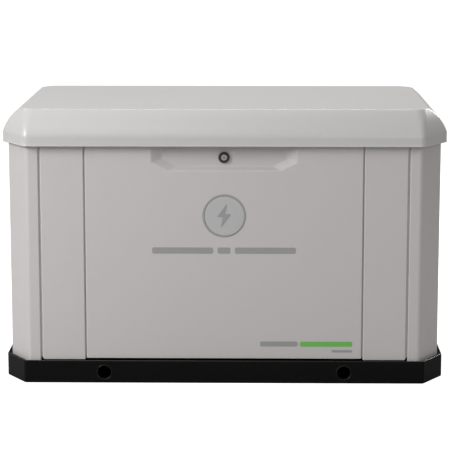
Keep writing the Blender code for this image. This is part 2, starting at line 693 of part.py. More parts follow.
# ---------------------------------------------------------------- alternator
def make_alternator(looks):
    """Stator housing on its foot, the rotor inside it, and the end bracket."""
    axis = (CRANK_Y, CRANK_Z)
    low, high = STATOR_X
    ring = turned([(low, STATOR_RADIUS), (high, STATOR_RADIUS), (high, 0.096), (low, 0.096)],
                  axis, "X", 24, ring=True)
    stator = add_piece("stator_housing", ring, looks["iron"])
    foot_top = CRANK_Z - STATOR_RADIUS + 0.012
    join(stator, block((low + 0.05, CRANK_Y - 0.055, CRADLE_Z[1] + GAP),
                       (high - 0.02, CRANK_Y + 0.055, foot_top)))
    pivot = (0.0, CRANK_Y, CRANK_Z)
    start = COUPLING_X + GAP
    profile = [(start, 0.0), (start, SHAFT_RADIUS), (low + 0.045, SHAFT_RADIUS),
               (low + 0.045, 0.090), (high - 0.020, 0.090), (high - 0.020, SHAFT_RADIUS),
               (high + 0.030, SHAFT_RADIUS), (high + 0.030, 0.0)]
    add_piece("rotor", turned(profile, axis, "X", 24), looks["steel"], pivot)
    profile = [(high + GAP, STATOR_RADIUS), (high + 0.012, STATOR_RADIUS),
               (high + 0.020, 0.060), (high + 0.024, 0.040), (high + 0.024, BEARING_RADIUS),
               (high + GAP + 0.004, BEARING_RADIUS), (high + GAP + 0.004, 0.090),
               (high + GAP, 0.090)]
    add_piece("alternator_end_bracket", turned(profile, axis, "X", 24, ring=True), looks["cast"])


# ---------------------------------------------------------------- electrics and fuel
def make_controls(looks):
    """Controller box under the lid, with its three keys and the main breaker's lever."""
    low, high = CONTROL_LOW, CONTROL_HIGH
    outline = filleted([(low[0], low[1]), (high[0], low[1]), (high[0], high[1]), (low[0], high[1])],
                       [0.012] * 4)
    box = add_piece("control_box", prism(outline, low[2], high[2]), looks["grey"])
    travel = 0.0015
    for index, name in enumerate(("auto", "off", "manual")):
        x = low[0] + 0.055 + index * 0.050
        y = low[1] + 0.050
        cut(box, block((x - 0.0165, y - 0.0105, high[2] - 0.0045), (x + 0.0165, y + 0.0105, 0.7)))
        corners = [(x - 0.016, y - 0.010), (x + 0.016, y - 0.010), (x + 0.016, y + 0.010),
                   (x - 0.016, y + 0.010)]
        key = prism(filleted(corners, [0.003] * 4, steps=3), high[2] - 0.0025, high[2] + 0.0030)
        add_piece("key_" + name, key, looks["key"], (x, y, high[2] - 0.0025 - travel))
    x = high[0] - 0.035
    y = low[1] + 0.150
    pivot = (x, y, high[2] - 0.006)
    cut(box, block((x - 0.0085, y - 0.022, high[2] - 0.016), (x + 0.0085, y + 0.022, 0.7)))
    hub = rod(x - 0.0080, x + 0.0080, 0.0070, (pivot[1], pivot[2]), "X", 20)
    lever = add_piece("breaker_lever", hub, looks["white"], pivot)
    profile = [(y - 0.0060, pivot[2] + 0.001), (y + 0.0010, pivot[2] + 0.001),
               (y - 0.0065, pivot[2] + 0.0190), (y - 0.0110, pivot[2] + 0.0170)]
    join(lever, prism(profile, x - 0.0080, x + 0.0080, "X"))


def smooth_route(points, per_span=3):
    """Points along a smooth curve through a route's own points."""
    ends = [points[0] * 2.0 - points[1]] + points + [points[-1] * 2.0 - points[-2]]
    route = []
    for index in range(1, len(ends) - 2):
        a, b, c, d = ends[index - 1:index + 3]
        for step in range(per_span):
            t = step / per_span
            route.append(0.5 * (2.0 * b + (c - a) * t + (2.0 * a - 5.0 * b + 4.0 * c - d) * t ** 2
                                + (3.0 * b - a - 3.0 * c + d) * t ** 3))
    route.append(points[-1])
    return route


def make_lead(name, points, radius, material):
    """A round lead or hose along a smooth route."""
    route = smooth_route([Vector(point) for point in points])
    curve = bpy.data.curves.new(name, "CURVE")
    curve.dimensions = "3D"
    curve.bevel_depth = radius
    curve.bevel_resolution = 2
    curve.use_fill_caps = True
    spline = curve.splines.new("POLY")
    spline.points.add(len(route) - 1)
    for point, place in zip(spline.points, route):
        point.co = (*place, 1.0)
    curve.materials.append(material)
    piece = bpy.data.objects.new(name, curve)
    bpy.context.collection.objects.link(piece)


def make_battery(looks):
    """The starting battery and its two leads."""
    low, high = BATTERY_LOW, BATTERY_HIGH
    outline = filleted([(low[0], low[1]), (high[0], low[1]), (high[0], high[1]), (low[0], high[1])],
                       [0.006] * 4, steps=2)
    battery = add_piece("battery", prism(outline, low[2], high[2]), looks["dark"])
    post_y = high[1] - 0.030
    posts = (low[0] + 0.030, high[0] - 0.030)
    for x in posts:
        join(battery, rod(high[2] - 0.002, high[2] + 0.016, 0.009, (x, post_y), "Z", 16))
    top = high[2] + 0.016 + 2.0 * GAP
    starter = (CRANK_Y + 0.1563, CRANK_Z - 0.060)
    ground = (CRANK_Y + 0.120 + 3.0 * GAP, CRANK_Z - 0.120)
    make_lead("battery_lead_positive", [
        (posts[0], post_y, top), (posts[0], post_y, top + 0.015),
        (posts[0], post_y + 0.003, top + 0.030), (posts[0] - 0.030, post_y + 0.060, top + 0.045),
        (0.250, 0.100, 0.300), (0.225, 0.230, 0.200), (0.100, 0.262, 0.130),
        (-0.020, 0.210, 0.175), (-0.075, starter[0] + 0.002, starter[1]),
        (-0.100, starter[0], starter[1]),
        (-0.120 + 3.0 * GAP, starter[0], starter[1])], LEAD_RADIUS, looks["red"])
    make_lead("battery_lead_negative", [
        (posts[1], post_y, top), (posts[1], post_y, top + 0.015),
        (posts[1], post_y + 0.004, top + 0.035), (posts[1] - 0.060, post_y + 0.090, top + 0.050),
        (0.340, 0.160, 0.300), (0.270, 0.262, 0.170), (0.080, 0.305, 0.090),
        (-0.160, 0.300, 0.090), (-0.200, 0.240, 0.115), (-0.200, ground[0] + 0.020, ground[1]),
        (-0.200, ground[0], ground[1])], LEAD_RADIUS, looks["dark"])


def make_fuel(looks):
    """Gas inlet through the back panel, the regulator and the hose to the mixer."""
    rear = CABINET_SIZE[1] / 2.0
    inlet = turned([(rear - 0.0190, 0.0110), (rear - 0.0190, 0.0160), (rear + 0.002, 0.0160),
                    (rear + 0.002, 0.0180), (rear + 0.0175, 0.0180), (rear + 0.0175, 0.0110)],
                   (FUEL_X, FUEL_Z), "Y", 18, ring=True)
    add_piece("fuel_inlet", inlet, looks["zinc"])
    back = rear - 0.0190 - GAP
    outline = filleted([(FUEL_X - 0.050, FUEL_Z - 0.050), (FUEL_X + 0.050, FUEL_Z - 0.050),
                        (FUEL_X + 0.050, FUEL_Z + 0.050), (FUEL_X - 0.050, FUEL_Z + 0.050)],
                       [0.014] * 4)
    regulator = add_piece("fuel_regulator", prism(outline, back - 0.062, back, "Y"), looks["cast"])
    join(regulator, rod(back - 0.078, back - 0.060, 0.040, (FUEL_X, FUEL_Z), "Y"))
    top = FUEL_Z + 0.050 + GAP
    make_lead("fuel_hose", [
        (FUEL_X, back - 0.030, top), (FUEL_X, back - 0.030, top + 0.015),
        (FUEL_X, back - 0.034, top + 0.035),
        (0.050, 0.250, 0.430), (0.020, 0.160, 0.452), (-0.040, 0.070, 0.446),
        (-0.120, CRANK_Y, 0.440), (MIXER_X + 0.028, CRANK_Y, 0.440)], HOSE_RADIUS,
        looks["rubber"])


def main():
    """Clear the scene and build the generator."""
    for leftover in list(bpy.data.objects):
        bpy.data.objects.remove(leftover, do_unlink=True)
    looks = make_looks()
    make_base(looks)
    make_corner_posts(looks)
    make_front_strips(looks)
    make_door(looks)
    make_lock(looks)
    make_side_panels(looks)
    make_rear_panel(looks)
    make_header(looks)
    make_lid(looks)
    make_hinges(looks)
    make_cradle(looks)
    make_crankcase(looks)
    make_cylinders(looks)
    make_fan(looks)
    make_air_intake(looks)
    make_oil_parts(looks)
    make_starter(looks)
    make_exhaust(looks)
    make_alternator(looks)
    make_controls(looks)
    make_battery(looks)
    make_fuel(looks)


main()
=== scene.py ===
"""Looks of a home standby generator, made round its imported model.

The roof, cabinet, base, lock and markings are modelled here in full. The machine inside keeps
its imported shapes, which get softened edges, finishes and the small parts that show when the
roof is open. Metres, +Z up, the front faces -Y.
"""
import json
import logging
import math
from dataclasses import dataclass
from enum import Enum
from typing import Iterable, Sequence

import bmesh
import bpy
from mathutils import Matrix, Vector


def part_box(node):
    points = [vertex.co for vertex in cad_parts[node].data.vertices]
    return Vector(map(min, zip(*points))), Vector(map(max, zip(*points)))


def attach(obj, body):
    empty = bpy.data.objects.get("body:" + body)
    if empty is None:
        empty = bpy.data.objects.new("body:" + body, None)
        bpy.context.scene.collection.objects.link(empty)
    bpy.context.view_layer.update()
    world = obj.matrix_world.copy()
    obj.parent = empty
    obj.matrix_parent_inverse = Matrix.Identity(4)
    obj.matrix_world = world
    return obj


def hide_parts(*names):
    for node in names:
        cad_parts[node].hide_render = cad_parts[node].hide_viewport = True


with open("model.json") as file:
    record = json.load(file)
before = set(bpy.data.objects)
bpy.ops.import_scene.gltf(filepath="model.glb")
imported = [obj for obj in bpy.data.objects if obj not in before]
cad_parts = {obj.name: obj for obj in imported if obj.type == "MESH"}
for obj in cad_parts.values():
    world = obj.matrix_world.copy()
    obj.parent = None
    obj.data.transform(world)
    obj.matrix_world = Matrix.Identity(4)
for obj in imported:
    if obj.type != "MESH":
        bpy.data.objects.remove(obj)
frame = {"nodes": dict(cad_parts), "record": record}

LOG = logging.getLogger("generator_looks")
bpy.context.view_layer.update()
BODY_OF = {node: body for body, nodes in frame["record"]["behaviour"]["bodies"].items()
           for node in nodes}

Colour = tuple[float, float, float]
Point = tuple[float, float, float]


# ---------------------------------------------------------------- shader tools
class Signal:
    """One output socket, used in arithmetic as if it were a number."""

    def __init__(self, recipe: "Recipe", socket: bpy.types.NodeSocket) -> None:
        """Keep the socket and the recipe it belongs to."""
        self.recipe = recipe
        self.socket = socket

    def _maths(self, operation: str, first: object, second: object) -> "Signal":
        """Add one Math node and return its result."""
        node = self.recipe.add("ShaderNodeMath", {"operation": operation}, {0: first, 1: second})
        return Signal(self.recipe, node.outputs[0])

    def __add__(self, other: object) -> "Signal":
        """Return self + other."""
        return self._maths("ADD", self, other)

    __radd__ = __add__

    def __sub__(self, other: object) -> "Signal":
        """Return self - other."""
        return self._maths("SUBTRACT", self, other)

    def __rsub__(self, other: object) -> "Signal":
        """Return other - self."""
        return self._maths("SUBTRACT", other, self)

    def __mul__(self, other: object) -> "Signal":
        """Return self * other."""
        return self._maths("MULTIPLY", self, other)

    __rmul__ = __mul__


class Recipe:
    """A material being made: a Principled shader and the nodes that feed it."""

    def __init__(self, name: str) -> None:
        """Start an empty recipe.

        Args:
            name: the material's name.
        """
        self.material = bpy.data.materials.new(name)
        self.material.use_nodes = True
        self.tree = self.material.node_tree
        self.shader = self.tree.nodes["Principled BSDF"]

    def add(self, kind: str, settings: dict | None = None,
            sockets: dict | None = None) -> bpy.types.Node:
        """Add any node.

        Args:
            kind: the node's type.
            settings: attributes to set first.
            sockets: values or Signals for inputs, by name or number.

        Returns:
            The new node.
        """
        node = self.tree.nodes.new(kind)
        for key, value in (settings or {}).items():
            setattr(node, key, value)
        for key, value in (sockets or {}).items():
            self.feed(node.inputs[key], value)
        return node

    def feed(self, target: bpy.types.NodeSocket, value: object) -> None:
        """Link a Signal to a socket, or set a plain value on it."""
        if isinstance(value, Signal):
            self.tree.links.new(value.socket, target)
        elif isinstance(value, tuple) and len(value) == 3 and target.type == "RGBA":
            target.default_value = (*value, 1.0)
        else:
            target.default_value = value

    def place(self, stretch: Point = (1.0, 1.0, 1.0)) -> Signal:
        """Return the object's own coordinates, stretched along its axes."""
        coordinates = self.add("ShaderNodeTexCoord")
        source = Signal(self, coordinates.outputs["Object"])
        mapping = self.add("ShaderNodeMapping", None, {"Vector": source, "Scale": stretch})
        return Signal(self, mapping.outputs[0])

    def noise(self, where: Signal, scale: float, detail: float = 2.0,
              roughness: float = 0.5) -> Signal:
        """Return smooth noise between 0 and 1."""
        node = self.add("ShaderNodeTexNoise", None, {
            "Vector": where, "Scale": scale, "Detail": detail, "Roughness": roughness})
        return Signal(self, node.outputs[0])

    def cells(self, where: Signal, scale: float) -> Signal:
        """Return the distance to the nearest of many scattered points."""
        node = self.add("ShaderNodeTexVoronoi", None, {"Vector": where, "Scale": scale})
        return Signal(self, node.outputs["Distance"])

    def blend(self, factor: object, first: object, second: object) -> Signal:
        """Mix two colours."""
        node = self.add("ShaderNodeMix", {"data_type": "RGBA"}, {0: factor, 6: first, 7: second})
        return Signal(self, node.outputs[2])

    def bump(self, height: Signal, distance: float, strength: float = 1.0) -> None:
        """Feed a height to the shader's normal."""
        node = self.add("ShaderNodeBump", None, {
            "Height": height, "Distance": distance, "Strength": strength})
        self.feed(self.shader.inputs["Normal"], Signal(self, node.outputs[0]))


class Grain(Enum):
    """The fine surface that a finish has."""

    PEEL = "the soft dimples of powder coat"
    STIPPLE = "the even grain of a moulded skin"
    SAND = "the coarse skin of a casting"
    BRUSHED = "fine drawn lines"
    SPANGLE = "the flakes of zinc plate"


@dataclass(frozen=True)
class Finish:
    """One surface finish, with its fine grain and its slow change of tone."""

    slot: str
    colour: Colour
    second: Colour
    roughness: float
    spread: float
    grain: Grain
    grain_scale: float
    grain_depth: float
    metallic: float = 0.0
    specular: float = 0.5
    coat: float = 0.0
    tint: Colour | None = None
    name: str = ""

    def height(self, recipe: Recipe) -> Signal:
        """Return the grain's height between about 0 and 1."""
        here = recipe.place()
        if self.grain is Grain.BRUSHED:
            return recipe.noise(recipe.place((1.0, 1.0, 0.02)), self.grain_scale, 3.0, 0.6)
        if self.grain is Grain.SPANGLE:
            return recipe.cells(here, self.grain_scale)
        if self.grain is Grain.STIPPLE:
            dimples = recipe.cells(here, self.grain_scale)
            return dimples * 0.6 + recipe.noise(here, self.grain_scale * 0.35) * 0.6
        if self.grain is Grain.SAND:
            coarse = recipe.noise(here, self.grain_scale * 0.2, 2.0)
            return recipe.noise(here, self.grain_scale, 5.0, 0.65) + coarse * 0.7
        fine = recipe.noise(here, self.grain_scale, 2.0)
        return fine + recipe.noise(here, self.grain_scale * 0.25, 1.0) * 0.8

    def make(self) -> bpy.types.Material:
        """Return the finished material, made once."""
        name = self.name or self.slot
        found = bpy.data.materials.get("finish_" + name)
        if found:
            return found
        recipe = Recipe("finish_" + name)
        here = recipe.place()
        cloud = recipe.noise(here, 3.1, 4.0, 0.55)
        height = self.height(recipe)
        tone = recipe.blend(cloud, self.colour, self.second)
        fleck = (height - 0.5) * 0.18 + 0.12
        tone = recipe.blend(fleck, tone, tuple(min(1.0, part * 1.25) for part in self.colour))
        if self.tint:
            stain = (recipe.noise(here, 14.0, 3.0) - 0.45) * 2.6
            tone = recipe.blend(stain, tone, self.tint)
        shader = recipe.shader
        recipe.feed(shader.inputs["Base Color"], tone)
        worn = recipe.noise(here, 17.0, 4.0, 0.6)
        rough = (worn - 0.5) * self.spread + (height - 0.5) * (self.spread * 0.5) + self.roughness
        recipe.feed(shader.inputs["Roughness"], rough)
        shader.inputs["Metallic"].default_value = self.metallic
        shader.inputs["Specular IOR Level"].default_value = self.specular
        shader.inputs["Coat Weight"].default_value = self.coat
        recipe.bump(height, self.grain_depth)
        return recipe.material


CABINET_PAINT = Finish("cabinet_paint", (0.425, 0.405, 0.400), (0.440, 0.420, 0.414), 0.38, 0.08,
                       Grain.PEEL, 560.0, 0.00002, specular=0.36)
ROOF_PAINT = Finish("lid_paint", (0.430, 0.420, 0.412), (0.445, 0.435, 0.427), 0.30, 0.06,
                    Grain.PEEL, 560.0, 0.000012, specular=0.40)
BASE_BLACK = Finish("base_black", (0.0036, 0.0036, 0.0036), (0.0052, 0.0051, 0.0051), 0.40, 0.12,
                    Grain.STIPPLE, 900.0, 0.00010, specular=0.05)
ZINC = Finish("zinc_steel", (0.44, 0.45, 0.45), (0.60, 0.60, 0.57), 0.36, 0.16,
              Grain.SPANGLE, 190.0, 0.00002, metallic=0.9)
BASE_EDGE = Finish("base_black", (0.0060, 0.0060, 0.0060), (0.0090, 0.0088, 0.0086), 0.24, 0.10,
                   Grain.PEEL, 700.0, 0.00002, specular=0.45, name="base_edge")
BLACK_PLASTIC = Finish("black_plastic", (0.018, 0.018, 0.019), (0.026, 0.026, 0.026), 0.48, 0.12,
                       Grain.STIPPLE, 1100.0, 0.00015, specular=0.4)
LOCK_CHROME = Finish("lock_chrome", (0.56, 0.56, 0.57), (0.64, 0.64, 0.64), 0.34, 0.12,
                     Grain.BRUSHED, 2600.0, 0.00001, metallic=1.0)
CAST = Finish("cast_aluminium", (0.36, 0.37, 0.38), (0.46, 0.46, 0.45), 0.52, 0.16,
              Grain.SAND, 420.0, 0.0005, metallic=0.75)
ENGINE_BLACK = Finish("engine_black", (0.022, 0.022, 0.024), (0.034, 0.033, 0.033), 0.42, 0.14,
                      Grain.PEEL, 520.0, 0.00012, metallic=0.1)
RUBBER = Finish("black_rubber", (0.016, 0.016, 0.016), (0.028, 0.027, 0.026), 0.82, 0.12,
                Grain.STIPPLE, 1300.0, 0.00010, specular=0.25)
GROUND = Finish("ground_steel", (0.58, 0.58, 0.58), (0.66, 0.66, 0.66), 0.28, 0.12,
                Grain.BRUSHED, 1900.0, 0.00001, metallic=1.0)
HOT_STEEL = Finish("aluminised_steel", (0.40, 0.39, 0.37), (0.50, 0.49, 0.47), 0.46, 0.16,
                   Grain.SPANGLE, 320.0, 0.00003, metallic=0.9, tint=(0.30, 0.22, 0.15))
YELLOW = Finish("dipstick_yellow", (0.70, 0.48, 0.02), (0.76, 0.55, 0.04), 0.38, 0.10,
                Grain.PEEL, 700.0, 0.00004)
WHITE_ENAMEL = Finish("filter_white", (0.68, 0.68, 0.66), (0.74, 0.74, 0.72), 0.34, 0.10,
                      Grain.PEEL, 700.0, 0.00004, coat=0.2)
RED_LEAD = Finish("lead_red", (0.36, 0.018, 0.012), (0.44, 0.03, 0.02), 0.5, 0.12,
                  Grain.STIPPLE, 1200.0, 0.00006)
BLACK_LEAD = Finish("lead_black", (0.016, 0.016, 0.016), (0.024, 0.024, 0.024), 0.55, 0.12,
                    Grain.STIPPLE, 1200.0, 0.00006)
BATTERY_CASE = Finish("battery_case", (0.020, 0.020, 0.022), (0.030, 0.030, 0.030), 0.44, 0.12,
                      Grain.STIPPLE, 800.0, 0.00015)
GREY_PLASTIC = Finish("grey_plastic", (0.13, 0.135, 0.14), (0.16, 0.165, 0.17), 0.46, 0.12,
                      Grain.STIPPLE, 1000.0, 0.00012)
KEY_GREY = Finish("key_grey", (0.30, 0.31, 0.32), (0.35, 0.36, 0.37), 0.58, 0.10,
                  Grain.STIPPLE, 1500.0, 0.00006)
MARK_GREY = Finish("cabinet_paint", (0.235, 0.235, 0.238), (0.26, 0.26, 0.262), 0.42, 0.08,
                   Grain.PEEL, 700.0, 0.00003, name="mark_grey")
MARK_PALE = Finish("cabinet_paint", (0.42, 0.42, 0.425), (0.45, 0.45, 0.455), 0.36, 0.08,
                   Grain.BRUSHED, 900.0, 0.00002, metallic=0.3, name="mark_pale")
MARK_GREEN = Finish("cabinet_paint", (0.10, 0.36, 0.06), (0.13, 0.40, 0.08), 0.42, 0.08,
                    Grain.PEEL, 700.0, 0.00003, name="mark_green")
DISPLAY = Finish("grey_plastic", (0.10, 0.16, 0.11), (0.12, 0.19, 0.13), 0.14, 0.04,
                 Grain.PEEL, 900.0, 0.00001, coat=0.6, name="display")

LINER = Finish("black_rubber", (0.040, 0.040, 0.042), (0.060, 0.060, 0.060), 0.95, 0.04,
               Grain.STIPPLE, 260.0, 0.0012, specular=0.15, name="liner_foam")
BRASS = Finish("ground_steel", (0.58, 0.42, 0.18), (0.64, 0.48, 0.23), 0.32, 0.12,
               Grain.BRUSHED, 1500.0, 0.00001, metallic=1.0, name="brass")
LAMP_GREEN = Finish("key_grey", (0.03, 0.34, 0.08), (0.04, 0.40, 0.10), 0.20, 0.05,
                    Grain.PEEL, 1200.0, 0.00001, coat=0.5, name="lamp_green")
LAMP_AMBER = Finish("key_grey", (0.60, 0.26, 0.02), (0.66, 0.30, 0.03), 0.20, 0.05,
                    Grain.PEEL, 1200.0, 0.00001, coat=0.5, name="lamp_amber")

NODE_FINISH = {finish.slot: finish for finish in (
    CABINET_PAINT, ROOF_PAINT, BASE_BLACK, ZINC, BLACK_PLASTIC, LOCK_CHROME, CAST, ENGINE_BLACK,
    RUBBER, GROUND, HOT_STEEL, YELLOW, WHITE_ENAMEL, RED_LEAD, BLACK_LEAD, BATTERY_CASE,
    GREY_PLASTIC, KEY_GREY)}


# ---------------------------------------------------------------- shape tools
def rounded(points: Sequence[Sequence[float]], radii: Sequence[float], closed: bool = True,
            steps: int = 8) -> list[Vector]:
    """Round the corners of a flat outline or path with arcs.

    Args:
        points: the sharp corners, two numbers each.
        radii: one radius for each corner; 0 keeps it sharp.
        closed: whether the last corner joins the first.
        steps: the stretches in each arc.

    Returns:
        The rounded outline.
    """
    result = []
    for index, corner in enumerate(points):
        here = Vector(corner)
        if radii[index] == 0.0 or (not closed and index in (0, len(points) - 1)):
            result.append(here)
            continue
        back = (Vector(points[index - 1]) - here).normalized()
        ahead = (Vector(points[(index + 1) % len(points)]) - here).normalized()
        half = back.angle(ahead) / 2.0
        middle = here + (back + ahead).normalized() * radii[index] / math.sin(half)
        start = here + back * radii[index] / math.tan(half) - middle
        end = here + ahead * radii[index] / math.tan(half) - middle
        for step in range(steps + 1):
            result.append(middle + start.slerp(end, step / steps).normalized() * radii[index])
    return result


def sideways(path: Sequence[Vector], distance: float) -> list[Vector]:
    """Move an open path to its left by a distance, keeping its corners mitred."""
    result = []
    for index, here in enumerate(path):
        first = here - path[index - 1] if index else path[1] - here
        second = path[index + 1] - here if index < len(path) - 1 else first
        left = Vector((-first.y, first.x)).normalized()
        other = Vector((-second.y, second.x)).normalized()
        middle = (left + other).normalized()
        result.append(here + middle * distance / middle.dot(left))
    return result


def cut_corners(size: Sequence[float], cuts: Sequence[float], inset: float, radius: float,
                steps: int = 8) -> list[Vector]:
    """Return the outline of a box whose four corners are cut back, with every edge rounded."""
    half_x, half_y = size[0] / 2.0 - inset, size[1] / 2.0 - inset
    trim = inset * (math.hypot(*cuts) - cuts[0] - cuts[1])
    cut_x, cut_y = cuts[0] + trim / cuts[1], cuts[1] + trim / cuts[0]
    corners = []
    for sign_x, sign_y in ((1, -1), (1, 1), (-1, 1), (-1, -1)):
        pair = [(sign_x * (half_x - cut_x), sign_y * half_y),
                (sign_x * half_x, sign_y * (half_y - cut_y))]
        corners.extend(pair if sign_x * sign_y < 0 else pair[::-1])
    return rounded(corners, [radius] * 8, steps=steps)


def raised(outline: Iterable[Sequence[float]], height: float) -> list[Vector]:
    """Lift a flat outline to a height."""
    return [Vector((point[0], point[1], height)) for point in outline]


def pulled(rings: Sequence[Sequence[Vector]], start_cap: bool = True, end_cap: bool = True,
           loop: bool = False) -> bmesh.types.BMesh:
    """Extrude a ring of edges through further rings of as many points.

    Args:
        rings: the rings in order.
        start_cap: whether the first ring is filled.
        end_cap: whether the last ring is filled.
        loop: whether the last ring is bridged back to the first.

    Returns:
        The shape, facing outwards.
    """
    shape = bmesh.new()
    verts = [shape.verts.new(point) for point in rings[0]]
    first = verts
    edges = [shape.edges.new((verts[index - 1], verts[index])) for index in range(len(verts))]
    first_edges = edges
    for ring in rings[1:]:
        made = bmesh.ops.extrude_edge_only(shape, edges=edges)["geom"]
        fresh = {item for item in made if isinstance(item, bmesh.types.BMVert)}
        verts = [next(edge.other_vert(vert) for edge in vert.link_edges
                      if edge.other_vert(vert) in fresh) for vert in verts]
        for vert, point in zip(verts, ring):
            vert.co = point
        edges = [shape.edges.get((verts[index - 1], verts[index])) for index in range(len(verts))]
    if loop:
        bmesh.ops.bridge_loops(shape, edges=first_edges + edges)
    elif start_cap:
        shape.faces.new(first)
    if end_cap and not loop:
        shape.faces.new(verts)
    bmesh.ops.recalc_face_normals(shape, faces=shape.faces)
    return shape


def soften(shape: bmesh.types.BMesh, edges: list, radius: float, segments: int = 3) -> None:
    """Round edges of a shape."""
    bmesh.ops.bevel(shape, geom=edges, offset=radius, offset_type="OFFSET", affect="EDGES",
                    segments=segments, profile=0.5, material=-1, clamp_overlap=True)


def sharp_edges(shape: bmesh.types.BMesh, degrees: float = 30.0) -> list:
    """Return the edges whose faces turn by more than an angle."""
    limit = math.radians(degrees)
    return [edge for edge in shape.edges if edge.is_manifold and edge.calc_face_angle(0.0) > limit]


def pad_block(low: Sequence[float], high: Sequence[float], radius: float,
              segments: int = 3) -> bmesh.types.BMesh:
    """Return a box with rounded edges between two corners."""
    shape = bmesh.new()
    low, high = Vector(low), Vector(high)
    size = high - low
    matrix = Matrix.Translation((low + high) / 2.0) @ Matrix.Diagonal((*size, 1.0))
    bmesh.ops.create_cube(shape, size=1.0, matrix=matrix)
    soften(shape, shape.edges[:], min(radius, min(size) * 0.45), segments)
    return shape


def spun(profile: Sequence[Sequence[float]], centre: Point, axis: str, steps: int = 48,
         ring: bool = False) -> bmesh.types.BMesh:
    """Turn a profile of (along, radius) points about an axis through a centre.

    Args:
        profile: the points; along counts from the centre.
        centre: a point on the axis.
        axis: X, Y or Z.
        steps: the faces round the turn.
        ring: whether the profile closes on itself.

    Returns:
        The turned shape, facing outwards.
    """
    along = {"X": Vector((1, 0, 0)), "Y": Vector((0, 1, 0)), "Z": Vector((0, 0, 1))}[axis]
    out = Vector((0, 0, 1)) if axis != "Z" else Vector((1, 0, 0))
    shape = bmesh.new()
    origin = Vector(centre)
    verts = [shape.verts.new(origin + along * point[0] + out * point[1]) for point in profile]
    edges = [shape.edges.new(pair) for pair in zip(verts, verts[1:])]
    if ring:
        edges.append(shape.edges.new((verts[-1], verts[0])))
    bmesh.ops.spin(shape, geom=verts + edges, cent=origin, axis=along, dvec=(0.0, 0.0, 0.0),
                   angle=2.0 * math.pi, steps=steps, use_merge=True, use_duplicate=False)
    bmesh.ops.remove_doubles(shape, verts=shape.verts, dist=1e-6)
    bmesh.ops.recalc_face_normals(shape, faces=shape.faces)
    return shape


def ringed(centre: Point, axis: str, outer: float, inner: float, low: float, high: float,
           soft: float = 0.0006, steps: int = 40) -> bmesh.types.BMesh:
    """Return a band round an axis with rounded outer edges; low and high count along it."""
    profile = [(low, inner), (low, outer - soft), (low + soft * 0.3, outer - soft * 0.3),
               (low + soft, outer), (high - soft, outer), (high - soft * 0.3, outer - soft * 0.3),
               (high, outer - soft), (high, inner)]
    return spun(profile, centre, axis, steps, ring=True)


def button(centre: Point, axis: str, sign: int, radius: float, height: float,
           soft: float = 0.0008, steps: int = 32) -> bmesh.types.BMesh:
    """Return a round plug that stands on a face and points along an axis."""
    profile = [(0.0, 0.0), (0.0, radius), (height - soft, radius),
               (height - soft * 0.3, radius - soft * 0.3), (height, radius - soft), (height, 0.0)]
    return spun([(sign * along, out) for along, out in profile], centre, axis, steps)


def swept(points: Sequence[Point], radius: float, sides: int = 14, per_span: int = 8,
          ripple: float = 0.0) -> bmesh.types.BMesh:
    """Return a round tube along a smooth curve through points.

    Args:
        points: the curve's own points.
        radius: the tube's radius.
        sides: the points round it.
        per_span: the rings from one point to the next.
        ripple: how far every other pair of rings stands out, as on a corrugated conduit.

    Returns:
        The closed tube.
    """
    knots = [Vector(point) for point in points]
    knots = [knots[0] * 2.0 - knots[1]] + knots + [knots[-1] * 2.0 - knots[-2]]
    route = []
    for index in range(1, len(knots) - 2):
        a, b, c, d = knots[index - 1:index + 3]
        for step in range(per_span):
            t = step / per_span
            route.append(0.5 * (2.0 * b + (c - a) * t + (2.0 * a - 5.0 * b + 4.0 * c - d) * t ** 2
                                + (3.0 * b - a - 3.0 * c + d) * t ** 3))
    route.append(knots[-2])
    heading = (route[1] - route[0]).normalized()
    across = heading.orthogonal().normalized()
    rings = []
    for index, here in enumerate(route):
        ahead = route[min(index + 1, len(route) - 1)] - route[max(index - 1, 0)]
        ahead.normalize()
        across = heading.rotation_difference(ahead) @ across
        heading = ahead
        swell = radius + (ripple if index % 4 in (1, 2) else 0.0)
        circle = []
        for side in range(sides):
            turn = Matrix.Rotation(2.0 * math.pi * side / sides, 3, heading)
            circle.append(here + turn @ across * swell)
        rings.append(circle)
    return pulled(rings)


@dataclass(frozen=True)
class Fastener:
    """A hexagon screw on its washer."""

    across: float = 0.010
    height: float = 0.0048
    washer: float = 0.0078

    def shape(self, place: Point, towards: Point) -> bmesh.types.BMesh:
        """Return the screw's head at a place, pointing away from its face."""
        turn = Vector(towards).to_track_quat("Z", "Y").to_matrix().to_4x4()
        stand = Matrix.Translation(place) @ turn
        plate = bmesh.new()
        bmesh.ops.create_cone(plate, cap_ends=True, segments=20, radius1=self.washer,
                              radius2=self.washer * 0.93, depth=0.0014,
                              matrix=stand @ Matrix.Translation((0.0, 0.0, 0.0006)))
        head = bmesh.new()
        rise = Matrix.Translation((0.0, 0.0, 0.0012 + self.height / 2.0))
        bmesh.ops.create_cone(head, cap_ends=True, segments=6, radius1=self.across * 0.577,
                              radius2=self.across * 0.577, depth=self.height, matrix=stand @ rise)
        soften(head, sharp_edges(head), 0.0004, 2)
        return merged([plate, head])

    def row(self, places: Iterable[Point], towards: Point) -> bmesh.types.BMesh:
        """Return one shape of many heads that point the same way."""
        return merged([self.shape(place, towards) for place in places])


def merged(shapes: Iterable[bmesh.types.BMesh]) -> bmesh.types.BMesh:
    """Put several shapes into one."""
    whole = bmesh.new()
    for shape in shapes:
        scrap = bpy.data.meshes.new("scrap")
        shape.to_mesh(scrap)
        shape.free()
        whole.from_mesh(scrap)
        bpy.data.meshes.remove(scrap)
    return whole


